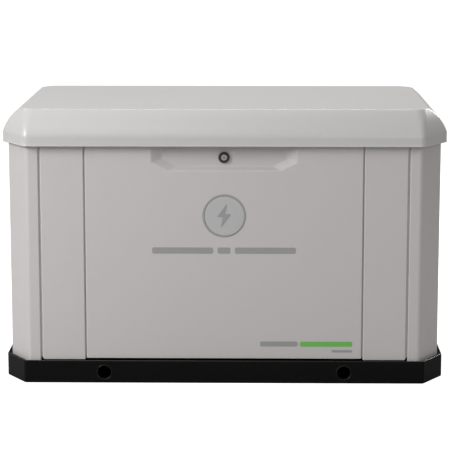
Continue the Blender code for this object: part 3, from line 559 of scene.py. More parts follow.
def set_piece(name: str, shape: bmesh.types.BMesh, finish: Finish, body: str,
              stands_for: Sequence[str] = (), smooth: float = 38.0,
              edge: float = 0.0) -> bpy.types.Object:
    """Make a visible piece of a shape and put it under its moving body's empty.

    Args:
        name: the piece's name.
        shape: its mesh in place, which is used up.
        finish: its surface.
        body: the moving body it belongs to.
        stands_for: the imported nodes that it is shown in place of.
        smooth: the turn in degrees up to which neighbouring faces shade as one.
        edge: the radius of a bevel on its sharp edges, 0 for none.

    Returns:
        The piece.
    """
    mesh = bpy.data.meshes.new(name)
    shape.to_mesh(mesh)
    shape.free()
    mesh.shade_smooth()
    mesh.set_sharp_from_angle(angle=math.radians(smooth))
    mesh.materials.append(finish.make())
    piece = bpy.data.objects.new(name, mesh)
    bpy.context.scene.collection.objects.link(piece)
    if edge:
        bevel = piece.modifiers.new("soft_edges", "BEVEL")
        bevel.width = edge
        bevel.segments = 2
        bevel.limit_method = "ANGLE"
        bevel.angle_limit = math.radians(smooth)
    even = piece.modifiers.new("even_shading", "WEIGHTED_NORMAL")
    even.weight = 90
    even.keep_sharp = True
    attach(piece, body)
    if stands_for:
        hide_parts(*stands_for)
    LOG.info("%s on %s, %d faces", name, body, len(mesh.polygons))
    return piece


def node_shape(node: str) -> bmesh.types.BMesh:
    """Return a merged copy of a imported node's mesh, with its flat faces made whole."""
    shape = bmesh.new()
    shape.from_mesh(frame["nodes"][node].data)
    bmesh.ops.remove_doubles(shape, verts=shape.verts, dist=1e-5)
    bmesh.ops.dissolve_limit(shape, angle_limit=math.radians(0.4), verts=shape.verts,
                             edges=shape.edges)
    return shape


def dress_node(node: str, finish: Finish, edge: float = 0.0008, smooth: float = 38.0) -> None:
    """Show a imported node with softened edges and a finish."""
    set_piece(node + "_skin", node_shape(node), finish, BODY_OF[node], [node], smooth, edge)


# ---------------------------------------------------------------- cabinet
@dataclass
class Roof:
    """The hinged roof: one pressed shell with a skirt, a crease, a slope and a flat top."""

    cuts: tuple[float, float] = (0.070, 0.116)
    top_cuts: tuple[float, float] = (0.022, 0.038)
    slope: tuple[float, float] = (0.053, 0.055)
    crease: float = 0.029
    wall: float = 0.003
    corner: float = 0.026
    top_corner: float = 0.036
    hem: tuple[tuple[float, float], ...] = ((0.0, 0.0024), (0.0003, 0.0010), (0.0011, 0.0),
                                            (0.0020, -0.0009), (0.0032, -0.0009), (0.0052, 0.0))
    ridge: float = 0.0046

    def level(self, blend: float, height: float, wall: float = 0.0) -> list[Vector]:
        """Return one ring of the shell."""
        low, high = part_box("lid_shell")
        size = (high.x - low.x - 2.0 * self.slope[0] * blend,
                high.y - low.y - 2.0 * self.slope[1] * blend)
        cuts = [first + (last - first) * blend for first, last in zip(self.cuts, self.top_cuts)]
        radius = self.corner + (self.top_corner - self.corner) * blend
        return raised(cut_corners(size, cuts, wall, radius), height)

    def profile(self) -> list[tuple[float, float, float]]:
        """Return (blend, height, inset) from the lip up to the flat top."""
        low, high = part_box("lid_shell")
        bottom, top = low.z, high.z
        crease = bottom + self.crease
        rows = [(0.0, bottom + rise, inset) for rise, inset in self.hem]
        curve = []
        steps = 12
        for step in range(steps + 1):
            t = step / steps
            blend = 2.0 * t * (1.0 - t) * 0.26 + t * t
            curve.append((blend, crease + (top - crease) * (2.0 * t * (1.0 - t) * 0.60 + t * t), 0.0))
        rows += [(0.0, bottom + (crease - bottom) * share, 0.0) for share in (0.4, 0.6, 0.8)]
        rows += curve[:-1]
        before, last = curve[-2], curve[-1]
        share = self.ridge / (self.slope[0] * (last[0] - before[0]))
        share = min(share, 0.8)
        edge = tuple(b + (a - b) * share for a, b in zip(before, last))
        rows.append(edge)
        rows.append((last[0] - (last[0] - edge[0]) * 0.42, last[1] - (last[1] - edge[1]) * 0.22, 0.0))
        rows.append((last[0] + self.ridge * 0.35 / self.slope[0], last[1] - 0.00015, 0.0))
        rows.append((last[0] + self.ridge / self.slope[0], last[1], 0.0))
        return rows

    def make(self) -> None:
        """Build the shell."""
        outside = [self.level(blend, height, inset) for blend, height, inset in self.profile()]
        inside = []
        for blend, height, inset in self.profile()[len(self.hem) - 1:]:
            inside.append(self.level(blend, max(height - self.wall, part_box("lid_shell")[0].z), self.wall))
        shape = pulled(inside[::-1] + outside)
        set_piece("roof", shape, ROOF_PAINT, "lid", ["lid_shell"], smooth=50.0)
        low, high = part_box("lid_shell")
        top = high.z - self.wall
        pads = []
        for column in range(3):
            for row in range(2):
                x = (column - 1) * 0.346
                y = (row - 0.5) * 0.300
                pads.append(pad_block((x - 0.170, y - 0.147, top - 0.012),
                                      (x + 0.170, y + 0.147, top + 0.0005), 0.006, 4))
        set_piece("roof_liner", merged(pads), LINER, "lid")


@dataclass
class Cabinet:
    """The fixed sheet-metal panels and the moulded base under them."""

    sheet: float = 0.0015
    post_sheet: float = 0.002
    fold: float = 0.0038
    corner: float = 0.016
    cuts: tuple[float, float] = (0.058, 0.092)
    base_cuts: tuple[float, float] = (0.059, 0.092)

    def folded(self, path: Sequence[Sequence[float]], radii: Sequence[float], thickness: float,
               low: float, high: float) -> bmesh.types.BMesh:
        """Return a folded sheet between two heights, its metal to the left of the path."""
        outer = rounded(path, radii, closed=False)
        outline = outer + sideways(outer, thickness)[::-1]
        shape = pulled([raised(outline, low), raised(outline, high)])
        return shape

    def make_posts(self) -> None:
        """Build the four corner posts."""
        for end, sign_y in (("front", -1), ("rear", 1)):
            for side, sign_x in (("left", -1), ("right", 1)):
                node = "corner_post_%s_%s" % (end, side)
                low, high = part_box(node)
                near_x, far_x = sorted((abs(low.x), abs(high.x)))
                near_y, far_y = sorted((abs(low.y), abs(high.y)))
                flange = 0.0217
                path = [(near_x, far_y - flange), (near_x, far_y), (far_x - self.cuts[0], far_y),
                        (far_x, far_y - self.cuts[1]), (far_x, near_y), (far_x - flange, near_y)]
                path = [(sign_x * x, sign_y * y) for x, y in path]
                radii = [0.0, self.fold, self.corner, self.corner, self.fold, 0.0]
                shape = self.folded(path, radii, -self.post_sheet * sign_x * sign_y, low.z, high.z)
                set_piece(node + "_skin", shape, CABINET_PAINT, "cabinet", [node], edge=0.0004)

    def make_strips(self) -> None:
        """Build the narrow panels beside the door, each with its lower outer corner clipped."""
        for side, sign in (("left", -1), ("right", 1)):
            node = "front_strip_" + side
            low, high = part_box(node)
            path = [(low.x, high.y), (low.x, low.y), (high.x, low.y), (high.x, high.y)]
            shape = self.folded(path, [0.0, self.fold, self.fold, 0.0], self.sheet, low.z, high.z)
            outer = max(low.x, high.x, key=abs)
            bmesh.ops.bisect_plane(shape, geom=shape.verts[:] + shape.edges[:] + shape.faces[:],
                                   plane_co=(outer - sign * 0.0045, 0.0, low.z),
                                   plane_no=(sign * 1.0, 0.0, -1.0), clear_outer=True)
            bmesh.ops.holes_fill(shape, edges=[e for e in shape.edges if e.is_boundary])
            bmesh.ops.recalc_face_normals(shape, faces=shape.faces)
            set_piece(node + "_skin", shape, CABINET_PAINT, "cabinet", [node], edge=0.0003)

    def make_seam_strips(self) -> None:
        """Close the four front seams with a thin strip a little way in."""
        bars = []
        for sign in (-1, 1):
            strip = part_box("front_strip_" + ("left" if sign < 0 else "right"))
            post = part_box("corner_post_front_" + ("left" if sign < 0 else "right"))
            inner, outer = sorted((abs(strip[0].x), abs(strip[1].x)))
            post_edge = min(abs(post[0].x), abs(post[1].x))
            for near, far, depth in ((inner - 0.0023, inner, 0.0055), (outer, post_edge, 0.0050)):
                ends = sorted((sign * near, sign * far))
                front = strip[0].y + depth
                bars.append(pad_block((ends[0], front, strip[0].z + 0.006),
                                      (ends[1], front + 0.0012, strip[1].z - 0.0005), 0.0003, 1))
        set_piece("seam_strips", merged(bars), CABINET_PAINT, "cabinet")

    def make_vented_panels(self) -> None:
        """Show the end and back panels and press a hood over every air slot."""
        for node, axis, sign in (("side_panel_left", "X", -1), ("side_panel_right", "X", 1),
                                 ("rear_panel", "Y", 1)):
            dress_node(node, CABINET_PAINT, edge=0.0003)
            low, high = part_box(node)
            face = (high.x if sign > 0 else low.x) if axis == "X" else high.y
            if axis == "X":
                fields = [(centre, 0.130, 9, 0.085) for centre in (-0.105, 0.105)]
            else:
                fields = [(centre, 0.360, 8, 0.110) for centre in (-0.33, 0.33)]
            hoods = []
            for centre, first, rows, half in fields:
                for row in range(rows):
                    hoods.append(self.hood(axis, sign, face, centre, first + row * 0.026, half))
            set_piece(node + "_hoods", merged(hoods), CABINET_PAINT, "cabinet", smooth=50.0)

    def hood(self, axis: str, sign: int, face: float, centre: float, slot: float,
             half: float) -> bmesh.types.BMesh:
        """Return one pressed louvre, open underneath, over a slot."""
        reach = half + 0.004
        rings = []
        drop, rise, depth = slot - 0.0015, slot + 0.0125, 0.0075
        for step in range(7):
            turn = math.pi / 2.0 * step / 6
            out = depth * math.cos(turn) + 0.0002
            height = drop + (rise - drop) * math.sin(turn)
            shrink = 0.006 * (1.0 - math.cos(turn)) * 0.5
            ring = []
            for place, share in ((-1.0, 0.0), (-0.975, 0.75), (-0.94, 1.0), (0.94, 1.0),
                                 (0.975, 0.75), (1.0, 0.0)):
                along = centre + place * (reach - shrink)
                away = face + sign * out * share
                ring.append(Vector((away, along, height)) if axis == "X"
                            else Vector((along, away, height)))
            rings.append(ring)
        shape = bmesh.new()
        verts = [shape.verts.new(point) for point in rings[0]]
        edges = [shape.edges.new(pair) for pair in zip(verts, verts[1:])]
        for ring in rings[1:]:
            made = bmesh.ops.extrude_edge_only(shape, edges=edges)["geom"]
            fresh = {item for item in made if isinstance(item, bmesh.types.BMVert)}
            verts = [next(edge.other_vert(vert) for edge in vert.link_edges
                          if edge.other_vert(vert) in fresh) for vert in verts]
            for vert, point in zip(verts, ring):
                vert.co = point
            edges = [shape.edges.get(pair) for pair in zip(verts, verts[1:])]
        bmesh.ops.recalc_face_normals(shape, faces=shape.faces)
        outward = Vector((sign, 0.0, 0.0)) if axis == "X" else Vector((0.0, sign, 0.0))
        middle = max(shape.faces, key=lambda item: item.calc_area())
        if middle.normal.dot(outward) + middle.normal.z < 0.0:
            bmesh.ops.reverse_faces(shape, faces=shape.faces)
        bmesh.ops.solidify(shape, geom=shape.faces[:], thickness=0.0009)
        bmesh.ops.recalc_face_normals(shape, faces=shape.faces)
        return shape

    def make_base(self) -> None:
        """Build the moulded base: rim, skirt, foot flange and lifting holes with round lips."""
        low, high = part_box("base_pan")
        size = (high.x - low.x, high.y - low.y)
        top, deck, wall, foot = high.z, high.z - 0.005, 0.004, 0.045
        lip = 0.0014
        sections = [(0.003, deck), (0.003, top - lip), (0.003 - lip * 0.2, top - lip * 0.3),
                    (0.003 - lip * 0.8, top), (lip, top), (lip * 0.3, top - lip * 0.3),
                    (0.0, top - lip), (0.0, top * 0.5), (0.0, 0.003), (0.0008, 0.0008),
                    (0.003, 0.0), (foot, 0.0), (foot, wall), (wall, wall), (wall, deck - wall)]
        rings = [raised(cut_corners(size, self.base_cuts, inset, 0.010), height)
                 for inset, height in sections]
        shape = pulled(rings)
        piece = set_piece("base", shape, BASE_BLACK, "cabinet", ["base_pan"], smooth=40.0)
        bead = [(0.0026, top - 0.0008), (0.0030, top + 0.0001), (0.0024, top + 0.0007),
                (0.0014, top + 0.0007), (0.0004, top + 0.0001), (-0.0001, top - 0.0010),
                (0.0006, top - 0.0016), (0.0018, top - 0.0014)]
        rings = [raised(cut_corners(size, self.base_cuts, inset, 0.010), height)
                 for inset, height in bead]
        set_piece("base_rim_bead", pulled(rings, loop=True), BASE_EDGE, "cabinet", smooth=60.0)
        for side in (-1, 1):
            centre = (side * 0.334, 0.0, 0.0310)
            cutter = spun([(-0.5, 0.0), (-0.5, 0.0195), (0.5, 0.0195), (0.5, 0.0)], centre, "Y", 40)
            self.carve(piece, cutter)
            half = size[1] / 2.0
            bore, wall_radius, flare = 0.0190, 0.0210, 0.0232
            front_lip = [(-half + 0.0022, bore), (-half + 0.0004, bore + 0.0004),
                         (-half - 0.0004, bore + 0.0012), (-half - 0.0004, flare - 0.0008),
                         (-half + 0.0002, flare), (-half + 0.0014, flare),
                         (-half + 0.0022, wall_radius)]
            outline = front_lip + [(-along, radius) for along, radius in front_lip[::-1]]
            tube = spun(outline, (centre[0], 0.0, centre[2]), "Y", 48, ring=True)
            side_name = "left" if side < 0 else "right"
            set_piece("lift_tube_" + side_name, tube, BASE_BLACK, "cabinet", smooth=50.0)
            rims = []
            for sign in (-1, 1):
                mouth = (centre[0], sign * (half + 0.0003), centre[2])
                ring = [(0.0007 * math.cos(a), bore + 0.0010 + 0.0007 * math.sin(a))
                        for a in (math.pi * step / 4 for step in range(8))]
                rims.append(spun(ring, mouth, "Y", 48, ring=True))
            set_piece("lift_rims_" + side_name, merged(rims), BASE_EDGE, "cabinet", smooth=60.0)

    @staticmethod
    def carve(piece: bpy.types.Object, cutter: bmesh.types.BMesh) -> None:
        """Cut a shape out of a piece for good."""
        mesh = bpy.data.meshes.new("cutter")
        cutter.to_mesh(mesh)
        cutter.free()
        tool = bpy.data.objects.new("cutter", mesh)
        bpy.context.scene.collection.objects.link(tool)
        modifier = piece.modifiers.new("hole", "BOOLEAN")
        modifier.object = tool
        modifier.solver = "EXACT"
        while piece.modifiers[0] != modifier:
            piece.modifiers.move(piece.modifiers.find("hole"), 0)
        bpy.context.view_layer.update()
        with bpy.context.temp_override(object=piece, active_object=piece):
            bpy.ops.object.modifier_apply(modifier="hole")
        bpy.data.objects.remove(tool)

    def make_screws(self) -> None:
        """Set the screws that hold the end panels and the back panel."""
        screw = Fastener(0.0085, 0.0034, 0.0068)
        heights = (0.092, 0.362, 0.636)
        for side, sign in (("left", -1), ("right", 1)):
            low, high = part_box("side_panel_" + side)
            face = low.x if sign < 0 else high.x
            places = [(face, y, z) for y in (low.y + 0.014, high.y - 0.014) for z in heights]
            shape = screw.row(places, (sign, 0.0, 0.0))
            set_piece("panel_screws_" + side, shape, ZINC, "cabinet")
        low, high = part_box("rear_panel")
        places = [(x, high.y, z) for x in (low.x + 0.016, high.x - 0.016) for z in heights]
        places += [(x, high.y, heights[0]) for x in (-0.16, 0.16)]
        set_piece("panel_screws_rear", screw.row(places, (0.0, 1.0, 0.0)), ZINC, "cabinet")
        small = Fastener(0.0055, 0.0024, 0.0046)
        for side in ("left", "right"):
            low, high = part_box("hinge_leaf_cabinet_" + side)
            places = [(x, low.y + 0.0022, low.z + 0.012) for x in (low.x + 0.010, high.x - 0.010)]
            set_piece("hinge_screws_" + side, small.row(places, (0.0, 1.0, 0.0)), ZINC, "cabinet")

    def make(self) -> None:
        """Build every fixed panel and the base."""
        self.make_screws()
        self.make_posts()
        self.make_strips()
        self.make_seam_strips()
        self.make_vented_panels()
        self.make_base()


@dataclass
class Door:
    """The lift-off door with its finger pull, its lock and its plain markings."""

    sheet: float = 0.0015
    fold: float = 0.0038
    mouth: tuple[tuple[float, float], ...] = ((0.201, 0.6195), (0.156, 0.5985))
    floor: tuple[tuple[float, float], ...] = ((0.172, 0.6290), (0.1336, 0.6083))
    depth: float = 0.0145
    lock_ring: float = 0.0155
    lock_core: float = 0.0100
    lock_mouth: float = 0.0082
    lock_play: float = 0.0006

    def make_panel(self) -> None:
        """Build the pressed sheet."""
        low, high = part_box("front_door")
        front, back, top, bottom = low.y, high.y, high.z, low.z
        inner = front + self.depth
        shape = bmesh.new()

        def corner(x: float, y: float, z: float) -> bmesh.types.BMVert:
            """Add one corner."""
            return shape.verts.new((x, y, z))

        mouth = [corner(x, front, z) for x, z in self.outline(self.mouth, top)]
        floor = [corner(x, inner, z) for x, z in self.outline(self.floor, top)]
        left = [corner(low.x, front, top), corner(low.x, front, bottom)]
        right = [corner(high.x, front, bottom), corner(high.x, front, top)]
        shape.faces.new(left + right + mouth)
        for index in range(len(mouth) - 1):
            shape.faces.new((mouth[index], floor[index], floor[index + 1], mouth[index + 1]))
        shape.faces.new(floor)
        flange_left = [corner(low.x, back, top), corner(low.x, back, bottom)]
        flange_right = [corner(high.x, back, bottom), corner(high.x, back, top)]
        shape.faces.new((flange_left[0], flange_left[1], left[1], left[0]))
        shape.faces.new((right[0], flange_right[0], flange_right[1], right[1]))
        bmesh.ops.recalc_face_normals(shape, faces=shape.faces)
        panel = max(shape.faces, key=lambda item: item.calc_area())
        if panel.normal.y > 0.0:
            bmesh.ops.reverse_faces(shape, faces=shape.faces)
        shape.edges.ensure_lookup_table()
        folds = [shape.edges.get((left[0], left[1])), shape.edges.get((right[0], right[1]))]
        presses = [edge for edge in shape.edges
                   if edge.is_manifold and edge not in folds and edge.calc_face_angle(0.0) > 0.1]
        soften(shape, presses, 0.0035, 4)
        folds = [edge for edge in shape.edges if edge.is_manifold
                 and edge.calc_face_angle(0.0) > 1.2]
        soften(shape, folds, self.fold, 6)
        bmesh.ops.solidify(shape, geom=shape.faces[:], thickness=self.sheet)
        bmesh.ops.recalc_face_normals(shape, faces=shape.faces)
        piece = set_piece("door", shape, CABINET_PAINT, "door", ["front_door"], smooth=45.0)
        ring_low, ring_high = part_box("lock_ring")
        bore = self.lock_core + self.lock_play
        reach = self.sheet * 4.0
        hole = spun([(-reach, 0.0), (-reach, bore), (reach, bore), (reach, 0.0)],
                    (0.0, inner, (ring_low.z + ring_high.z) / 2.0), "Y", 56)
        Cabinet.carve(piece, hole)

    @staticmethod
    def outline(corners: Sequence[tuple[float, float]], top: float) -> list[tuple[float, float]]:
        """Return the finger pull's outline from its upper right round to its upper left."""
        right = [(corners[0][0], top), *corners]
        return right + [(-x, z) for x, z in right[::-1]]

    def make_lock(self) -> None:
        """Build the lock's ring, its turning core, a black ring of painted shade at the core's centre and the
        cam behind it.
        """
        low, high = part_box("lock_ring")
        centre = (0.0, high.y, (low.z + high.z) / 2.0)
        depth = high.y - low.y
        bore = self.lock_core + self.lock_play
        lip = -depth + 0.0022
        outline = rounded([(0.0, self.lock_ring), (-depth, self.lock_ring), (-depth, self.lock_mouth),
                           (lip, self.lock_mouth), (lip, bore), (0.0, bore)],
                          [0.0, 0.0024, 0.0010, 0.0, 0.0, 0.0], steps=5)
        ring = spun(outline, centre, "Y", 56, ring=True)
        set_piece("lock_ring_skin", ring, BLACK_PLASTIC, "door", ["lock_ring"], smooth=50.0)
        core_low, core_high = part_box("lock_cylinder")
        face = low.y - high.y + 0.0009
        end = core_high.y - high.y
        neck = self.lock_mouth - 0.0003
        outline = [(face + 0.0014, 0.0), (face + 0.0012, 0.0026), (face + 0.0003, 0.0034),
                   (face, 0.0042), (face, neck - 0.0010), (face + 0.0004, neck - 0.0003),
                   (face + 0.0010, neck), (face + 0.0024, neck), (face + 0.0024, self.lock_core),
                   (end, self.lock_core), (end, 0.0)]
        core = spun(outline, centre, "Y", 56)
        piece = set_piece("lock_core", core, LOCK_CHROME, "lock", ["lock_cylinder"], smooth=40.0)
        slot_low = (-0.0011, low.y - 0.002, centre[2] - 0.0046)
        slot_high = (0.0011, low.y + 0.009, centre[2] + 0.0046)
        Cabinet.carve(piece, pad_block(slot_low, slot_high, 0.0003, 1))
        # Painted shade: a black ring round the keyway darkens the core's centre, where shade falls.
        shade = ringed((0.0, low.y + 0.0009, centre[2]), "Y", 0.0034, 0.0022, -0.0003, 0.0016, 0.0003, 32)
        set_piece("lock_centre_painted_shade", shade, BLACK_PLASTIC, "lock")
        dress_node("lock_cam", ZINC, 0.0005)

    def make_marks(self) -> None:
        """Set plain bars and a plain badge where a maker's markings would be."""
        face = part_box("front_door")[0].y
        middle = (0.0, face, 0.473)
        rim = spun([(0.0001, 0.0600), (-0.0006, 0.0600), (-0.0012, 0.0592), (-0.0014, 0.0580),
                    (-0.0014, 0.0556), (-0.0012, 0.0544), (-0.0006, 0.0536), (0.0001, 0.0536)],
                   middle, "Y", 96, ring=True)
        set_piece("badge_rim", rim, MARK_GREY, "door", smooth=60.0)
        disc = spun([(0.0001, 0.0505), (-0.0003, 0.0505), (-0.0005, 0.0501), (-0.0005, 0.0)],
                    middle, "Y", 96)
        set_piece("badge_disc", disc, MARK_PALE, "door", smooth=45.0)
        bolt = [(0.010, 0.037), (-0.020, -0.004), (-0.003, -0.004), (-0.010, -0.037),
                (0.020, 0.005), (0.003, 0.005)]
        outline = rounded([(x, middle[2] + z) for x, z in bolt], [0.0016] * 6, steps=4)
        spark = pulled([self.shrunk(outline, inset, face - out)
                        for inset, out in ((0.0, 0.0003), (0.0, 0.0009), (0.0004, 0.0012))])
        set_piece("badge_bolt", spark, MARK_GREY, "door", smooth=45.0)
        bars = [("line_bar_left", (-0.199, 0.3665), (-0.030, 0.3840), MARK_GREY),
                ("line_bar_middle", (-0.018, 0.3665), (0.018, 0.3840), MARK_GREY),
                ("line_bar_right", (0.030, 0.3665), (0.199, 0.3840), MARK_GREY),
                ("accent_bar_grey", (0.1005, 0.1035), (0.205, 0.1180), MARK_GREY),
                ("accent_bar_green", (0.212, 0.1035), (0.3570, 0.1180), MARK_GREEN),
                ("accent_bar_small", (0.3000, 0.0870), (0.3570, 0.0940), MARK_GREY)]
        for name, low, high, finish in bars:
            radius = (high[1] - low[1]) * 0.3
            outline = rounded([low, (high[0], low[1]), high, (low[0], high[1])], [radius] * 4, steps=5)
            shape = pulled([self.shrunk(outline, inset, face - out)
                            for inset, out in ((0.0, -0.0001), (0.0, 0.0003), (0.0002, 0.0004))])
            set_piece(name, shape, finish, "door", smooth=45.0)

    @staticmethod
    def shrunk(outline: Sequence[Vector], inset: float, depth: float) -> list[Vector]:
        """Return an upright copy of an outline, drawn in by an inset, at a depth."""
        middle = sum((Vector(point) for point in outline), Vector((0.0, 0.0))) / len(outline)
        half_x = max(abs(point.x - middle.x) for point in outline)
        half_z = max(abs(point.y - middle.y) for point in outline)
        ring = []
        for point in outline:
            x = middle.x + (point.x - middle.x) * (1.0 - inset / half_x)
            z = middle.y + (point.y - middle.y) * (1.0 - inset / half_z)
            ring.append(Vector((x, depth, z)))
        return ring

    def make_liner(self) -> None:
        """Glue a sound-deadening pad inside the door."""
        low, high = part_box("front_door")
        front = low.y + self.sheet
        pads = [pad_block((x - 0.176, front - 0.0003, low.z + 0.022), (x + 0.176, front + 0.011, 0.588),
                          0.005, 4) for x in (-0.180, 0.180)]
        set_piece("door_liner", merged(pads), LINER, "door")

    def make(self) -> None:
        """Build the door and what is on it."""
        self.make_liner()
        self.make_panel()
        self.make_lock()
        self.make_marks()


# ---------------------------------------------------------------- inside
@dataclass
class Engine:
    """Small parts of the engine: bolts, plugs, grille, clips and cleaner ribs."""

    head_reach: tuple[float, float] = (0.2003, 0.2480)
    head_half: tuple[float, float] = (0.056, 0.050)
    bolt: Fastener = Fastener(0.0085, 0.0045, 0.0062)

    @staticmethod
    def crank_axis() -> Vector:
        """Return the point where the crankshaft's axis crosses x = 0."""
        low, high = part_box("flywheel_fan")
        return Vector((0.0, (low.y + high.y) / 2.0, (low.z + high.z) / 2.0))

    def tipped(self, shape: bmesh.types.BMesh, sign: int) -> bmesh.types.BMesh:
        """Tip an upright shape about the crankshaft's axis, forwards for -1."""
        bmesh.ops.rotate(shape, verts=shape.verts, cent=self.crank_axis(),
                         matrix=Matrix.Rotation(math.radians(-45.0 * sign), 3, "X"))
        return shape

    def make_heads(self) -> None:
        """Set the head bolts, the cover's ribs and the spark plug's boot on each head."""
        axis = self.crank_axis()
        for end, sign in (("front", -1), ("rear", 1)):
            low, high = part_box("cylinder_head_" + end)
            x = (low.x + high.x) / 2.0
            deck = axis.z + self.head_reach[0] + 0.022
            flange = [(x + i * (self.head_half[0] - 0.0055), axis.y + j * (self.head_half[1] - 0.0055), deck)
                      for i in (-1, 1) for j in (-1, 1)]
            shape = self.tipped(self.bolt.row(flange, (0.0, 0.0, 1.0)), sign)
            set_piece("head_bolts_" + end, shape, ZINC, "cabinet")
            top = axis.z + self.head_reach[1]
            ribs = [pad_block((x - 0.030, axis.y + y - 0.0016, top - 0.001),
                              (x + 0.030, axis.y + y + 0.0016, top + 0.0018), 0.0009, 2)
                    for y in (-0.018, -0.006, 0.006, 0.018)]
            set_piece("cover_ribs_" + end, self.tipped(merged(ribs), sign), CAST, "cabinet")
            seat = (x + self.head_half[0], axis.y, axis.z + self.head_reach[0] + 0.011)
            boot = spun([(-0.0005, 0.0), (-0.0005, 0.0095), (0.004, 0.0095), (0.006, 0.0075),
                         (0.020, 0.0070), (0.024, 0.0078), (0.027, 0.0060), (0.027, 0.0)], seat, "X", 24)
            set_piece("plug_boot_" + end, self.tipped(boot, sign), RUBBER, "cabinet")

    def make_blower(self) -> None:
        """Put a wire guard over the fan's opening, and screws round the housing."""
        low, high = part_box("blower_housing")
        axis = self.crank_axis()
        face = low.x + 0.0012
        wires = []
        for radius in (0.026, 0.042, 0.058, 0.074, 0.0885):
            turn = [(face + 0.0011 * math.cos(a), radius + 0.0011 * math.sin(a))
                    for a in (math.pi * step / 4 for step in range(8))]
            wires.append(spun(turn, axis, "X", 56, ring=True))
        for spoke in range(6):
            arm = pad_block((face - 0.0011, axis.y - 0.0013, axis.z + 0.020),
                            (face + 0.0011, axis.y + 0.0013, axis.z + 0.092), 0.0006, 1)
            bmesh.ops.rotate(arm, verts=arm.verts, cent=axis,
                             matrix=Matrix.Rotation(math.radians(60.0 * spoke), 3, "X"))
            wires.append(arm)
        hub = button((low.x + 0.0024, axis.y, axis.z), "X", -1, 0.0235, 0.0024)
        set_piece("fan_guard", merged(wires + [hub]), ZINC, "cabinet", smooth=50.0)
        places = []
        for step in range(8):
            turn = 2.0 * math.pi * (step + 0.5) / 8
            places.append((low.x, axis.y + 0.112 * math.cos(turn), axis.z + 0.112 * math.sin(turn)))
        set_piece("blower_screws", self.bolt.row(places, (-1.0, 0.0, 0.0)), ZINC, "cabinet")

    def make_cleaner(self) -> None:
        """Add ribs, a knob and two clips to the air cleaner."""
        low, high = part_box("air_cleaner")
        middle = (low + high) / 2.0
        ribs = [pad_block((low.x + 0.026, middle.y + y - 0.003, high.z - 0.001),
                          (high.x - 0.026, middle.y + y + 0.003, high.z + 0.0022), 0.0012, 2)
                for y in (-0.060, -0.040, 0.040, 0.060)]
        rim = rounded([(low.x - 0.002, low.y - 0.002), (high.x + 0.002, low.y - 0.002),
                       (high.x + 0.002, high.y + 0.002), (low.x - 0.002, high.y + 0.002)],
                      [0.032] * 4, steps=8)
        seam = pulled([raised(rim, low.z + 0.024), raised(rim, low.z + 0.030)])
        set_piece("cleaner_ribs", merged(ribs + [seam]), BLACK_PLASTIC, "cabinet")
        knob = [button((middle.x, middle.y, high.z - 0.0005), "Z", 1, 0.016, 0.010, 0.002)]
        for step in range(10):
            turn = 2.0 * math.pi * step / 10
            spot = (middle.x + 0.0155 * math.cos(turn), middle.y + 0.0155 * math.sin(turn), high.z - 0.0005)
            knob.append(button(spot, "Z", 1, 0.0026, 0.009, 0.0008, 12))
        set_piece("cleaner_knob", merged(knob), GREY_PLASTIC, "cabinet")
        clips = [pad_block((middle.x + x - 0.007, low.y - 0.0045, low.z + 0.014),
                           (middle.x + x + 0.007, low.y + 0.001, low.z + 0.044), 0.0015, 2)
                 for x in (-0.055, 0.055)]
        set_piece("cleaner_clips", merged(clips), ZINC, "cabinet")

    def make_small_parts(self) -> None:
        """Add the crankcase ribs and bolts, the filter's nut, the starter's solenoid."""
        low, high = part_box("crankcase")
        ribs = [pad_block((x - 0.002, low.y - 0.003, low.z + 0.030),
                          (x + 0.002, low.y + 0.001, low.z + 0.150), 0.0012, 2)
                for x in (low.x + 0.022, low.x + 0.158)]
        sump = pad_block((low.x - 0.001, low.y - 0.004, low.z + 0.018),
                         (high.x + 0.001, high.y + 0.004, low.z + 0.026), 0.002, 3)
        set_piece("crankcase_ribs", merged(ribs + [sump]), CAST, "cabinet")
        places = [(low.x + 0.012 + step * 0.039, low.y - 0.004, low.z + 0.034) for step in (0, 4)]
        places += [(low.x + 0.012, low.y, low.z + 0.130), (low.x + 0.166, low.y, low.z + 0.130)]
        set_piece("crankcase_bolts", self.bolt.row(places, (0.0, -1.0, 0.0)), ZINC, "cabinet")
        low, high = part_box("oil_filter")
        middle = (low + high) / 2.0
        flats = bmesh.new()
        bmesh.ops.create_cone(flats, cap_ends=True, segments=14, radius1=0.031, radius2=0.0315,
                              depth=0.010, matrix=Matrix.Translation((middle.x, low.y + 0.006, middle.z))
                              @ Matrix.Rotation(math.radians(90.0), 4, "X"))
        soften(flats, sharp_edges(flats), 0.0008, 2)
        band = ringed(middle, "Y", 0.0364, 0.034, 0.010, 0.022, 0.0002)
        set_piece("filter_flats", flats, WHITE_ENAMEL, "cabinet", smooth=20.0)
        set_piece("filter_band", band, MARK_GREY, "cabinet")
        low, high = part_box("starter_motor")
        middle = (low + high) / 2.0
        can = [(-0.040, 0.0), (-0.040, 0.010), (-0.036, 0.0155), (0.020, 0.0155), (0.024, 0.012),
               (0.024, 0.0)]
        solenoid = [spun(can, (middle.x, middle.y + 0.012, high.z + 0.011), "X", 28)]
        solenoid.append(ringed(middle, "X", 0.0368, 0.034, -0.030, -0.026, 0.0006))
        solenoid.append(ringed(middle, "X", 0.0368, 0.034, 0.044, 0.048, 0.0006))
        set_piece("starter_solenoid", merged(solenoid), ENGINE_BLACK, "cabinet")
        low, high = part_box("dipstick")
        middle = (low + high) / 2.0
        loop = [(0.0022 * math.cos(a), 0.0100 + 0.0022 * math.sin(a))
                for a in (math.pi * step / 5 for step in range(10))]
        ring = spun(loop, (middle.x, middle.y, high.z + 0.0085), "Y", 32, ring=True)
        set_piece("dipstick_loop", ring, YELLOW, "dipstick", smooth=60.0)
        low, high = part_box("engine_cradle")
        places = [(x, y, high.z) for x in (low.x + 0.030, high.x - 0.030)
                  for y in (low.y + 0.030, high.y - 0.030)]
        set_piece("cradle_nuts", Fastener(0.016, 0.010, 0.013).row(places, (0.0, 0.0, 1.0)), ZINC, "cabinet")

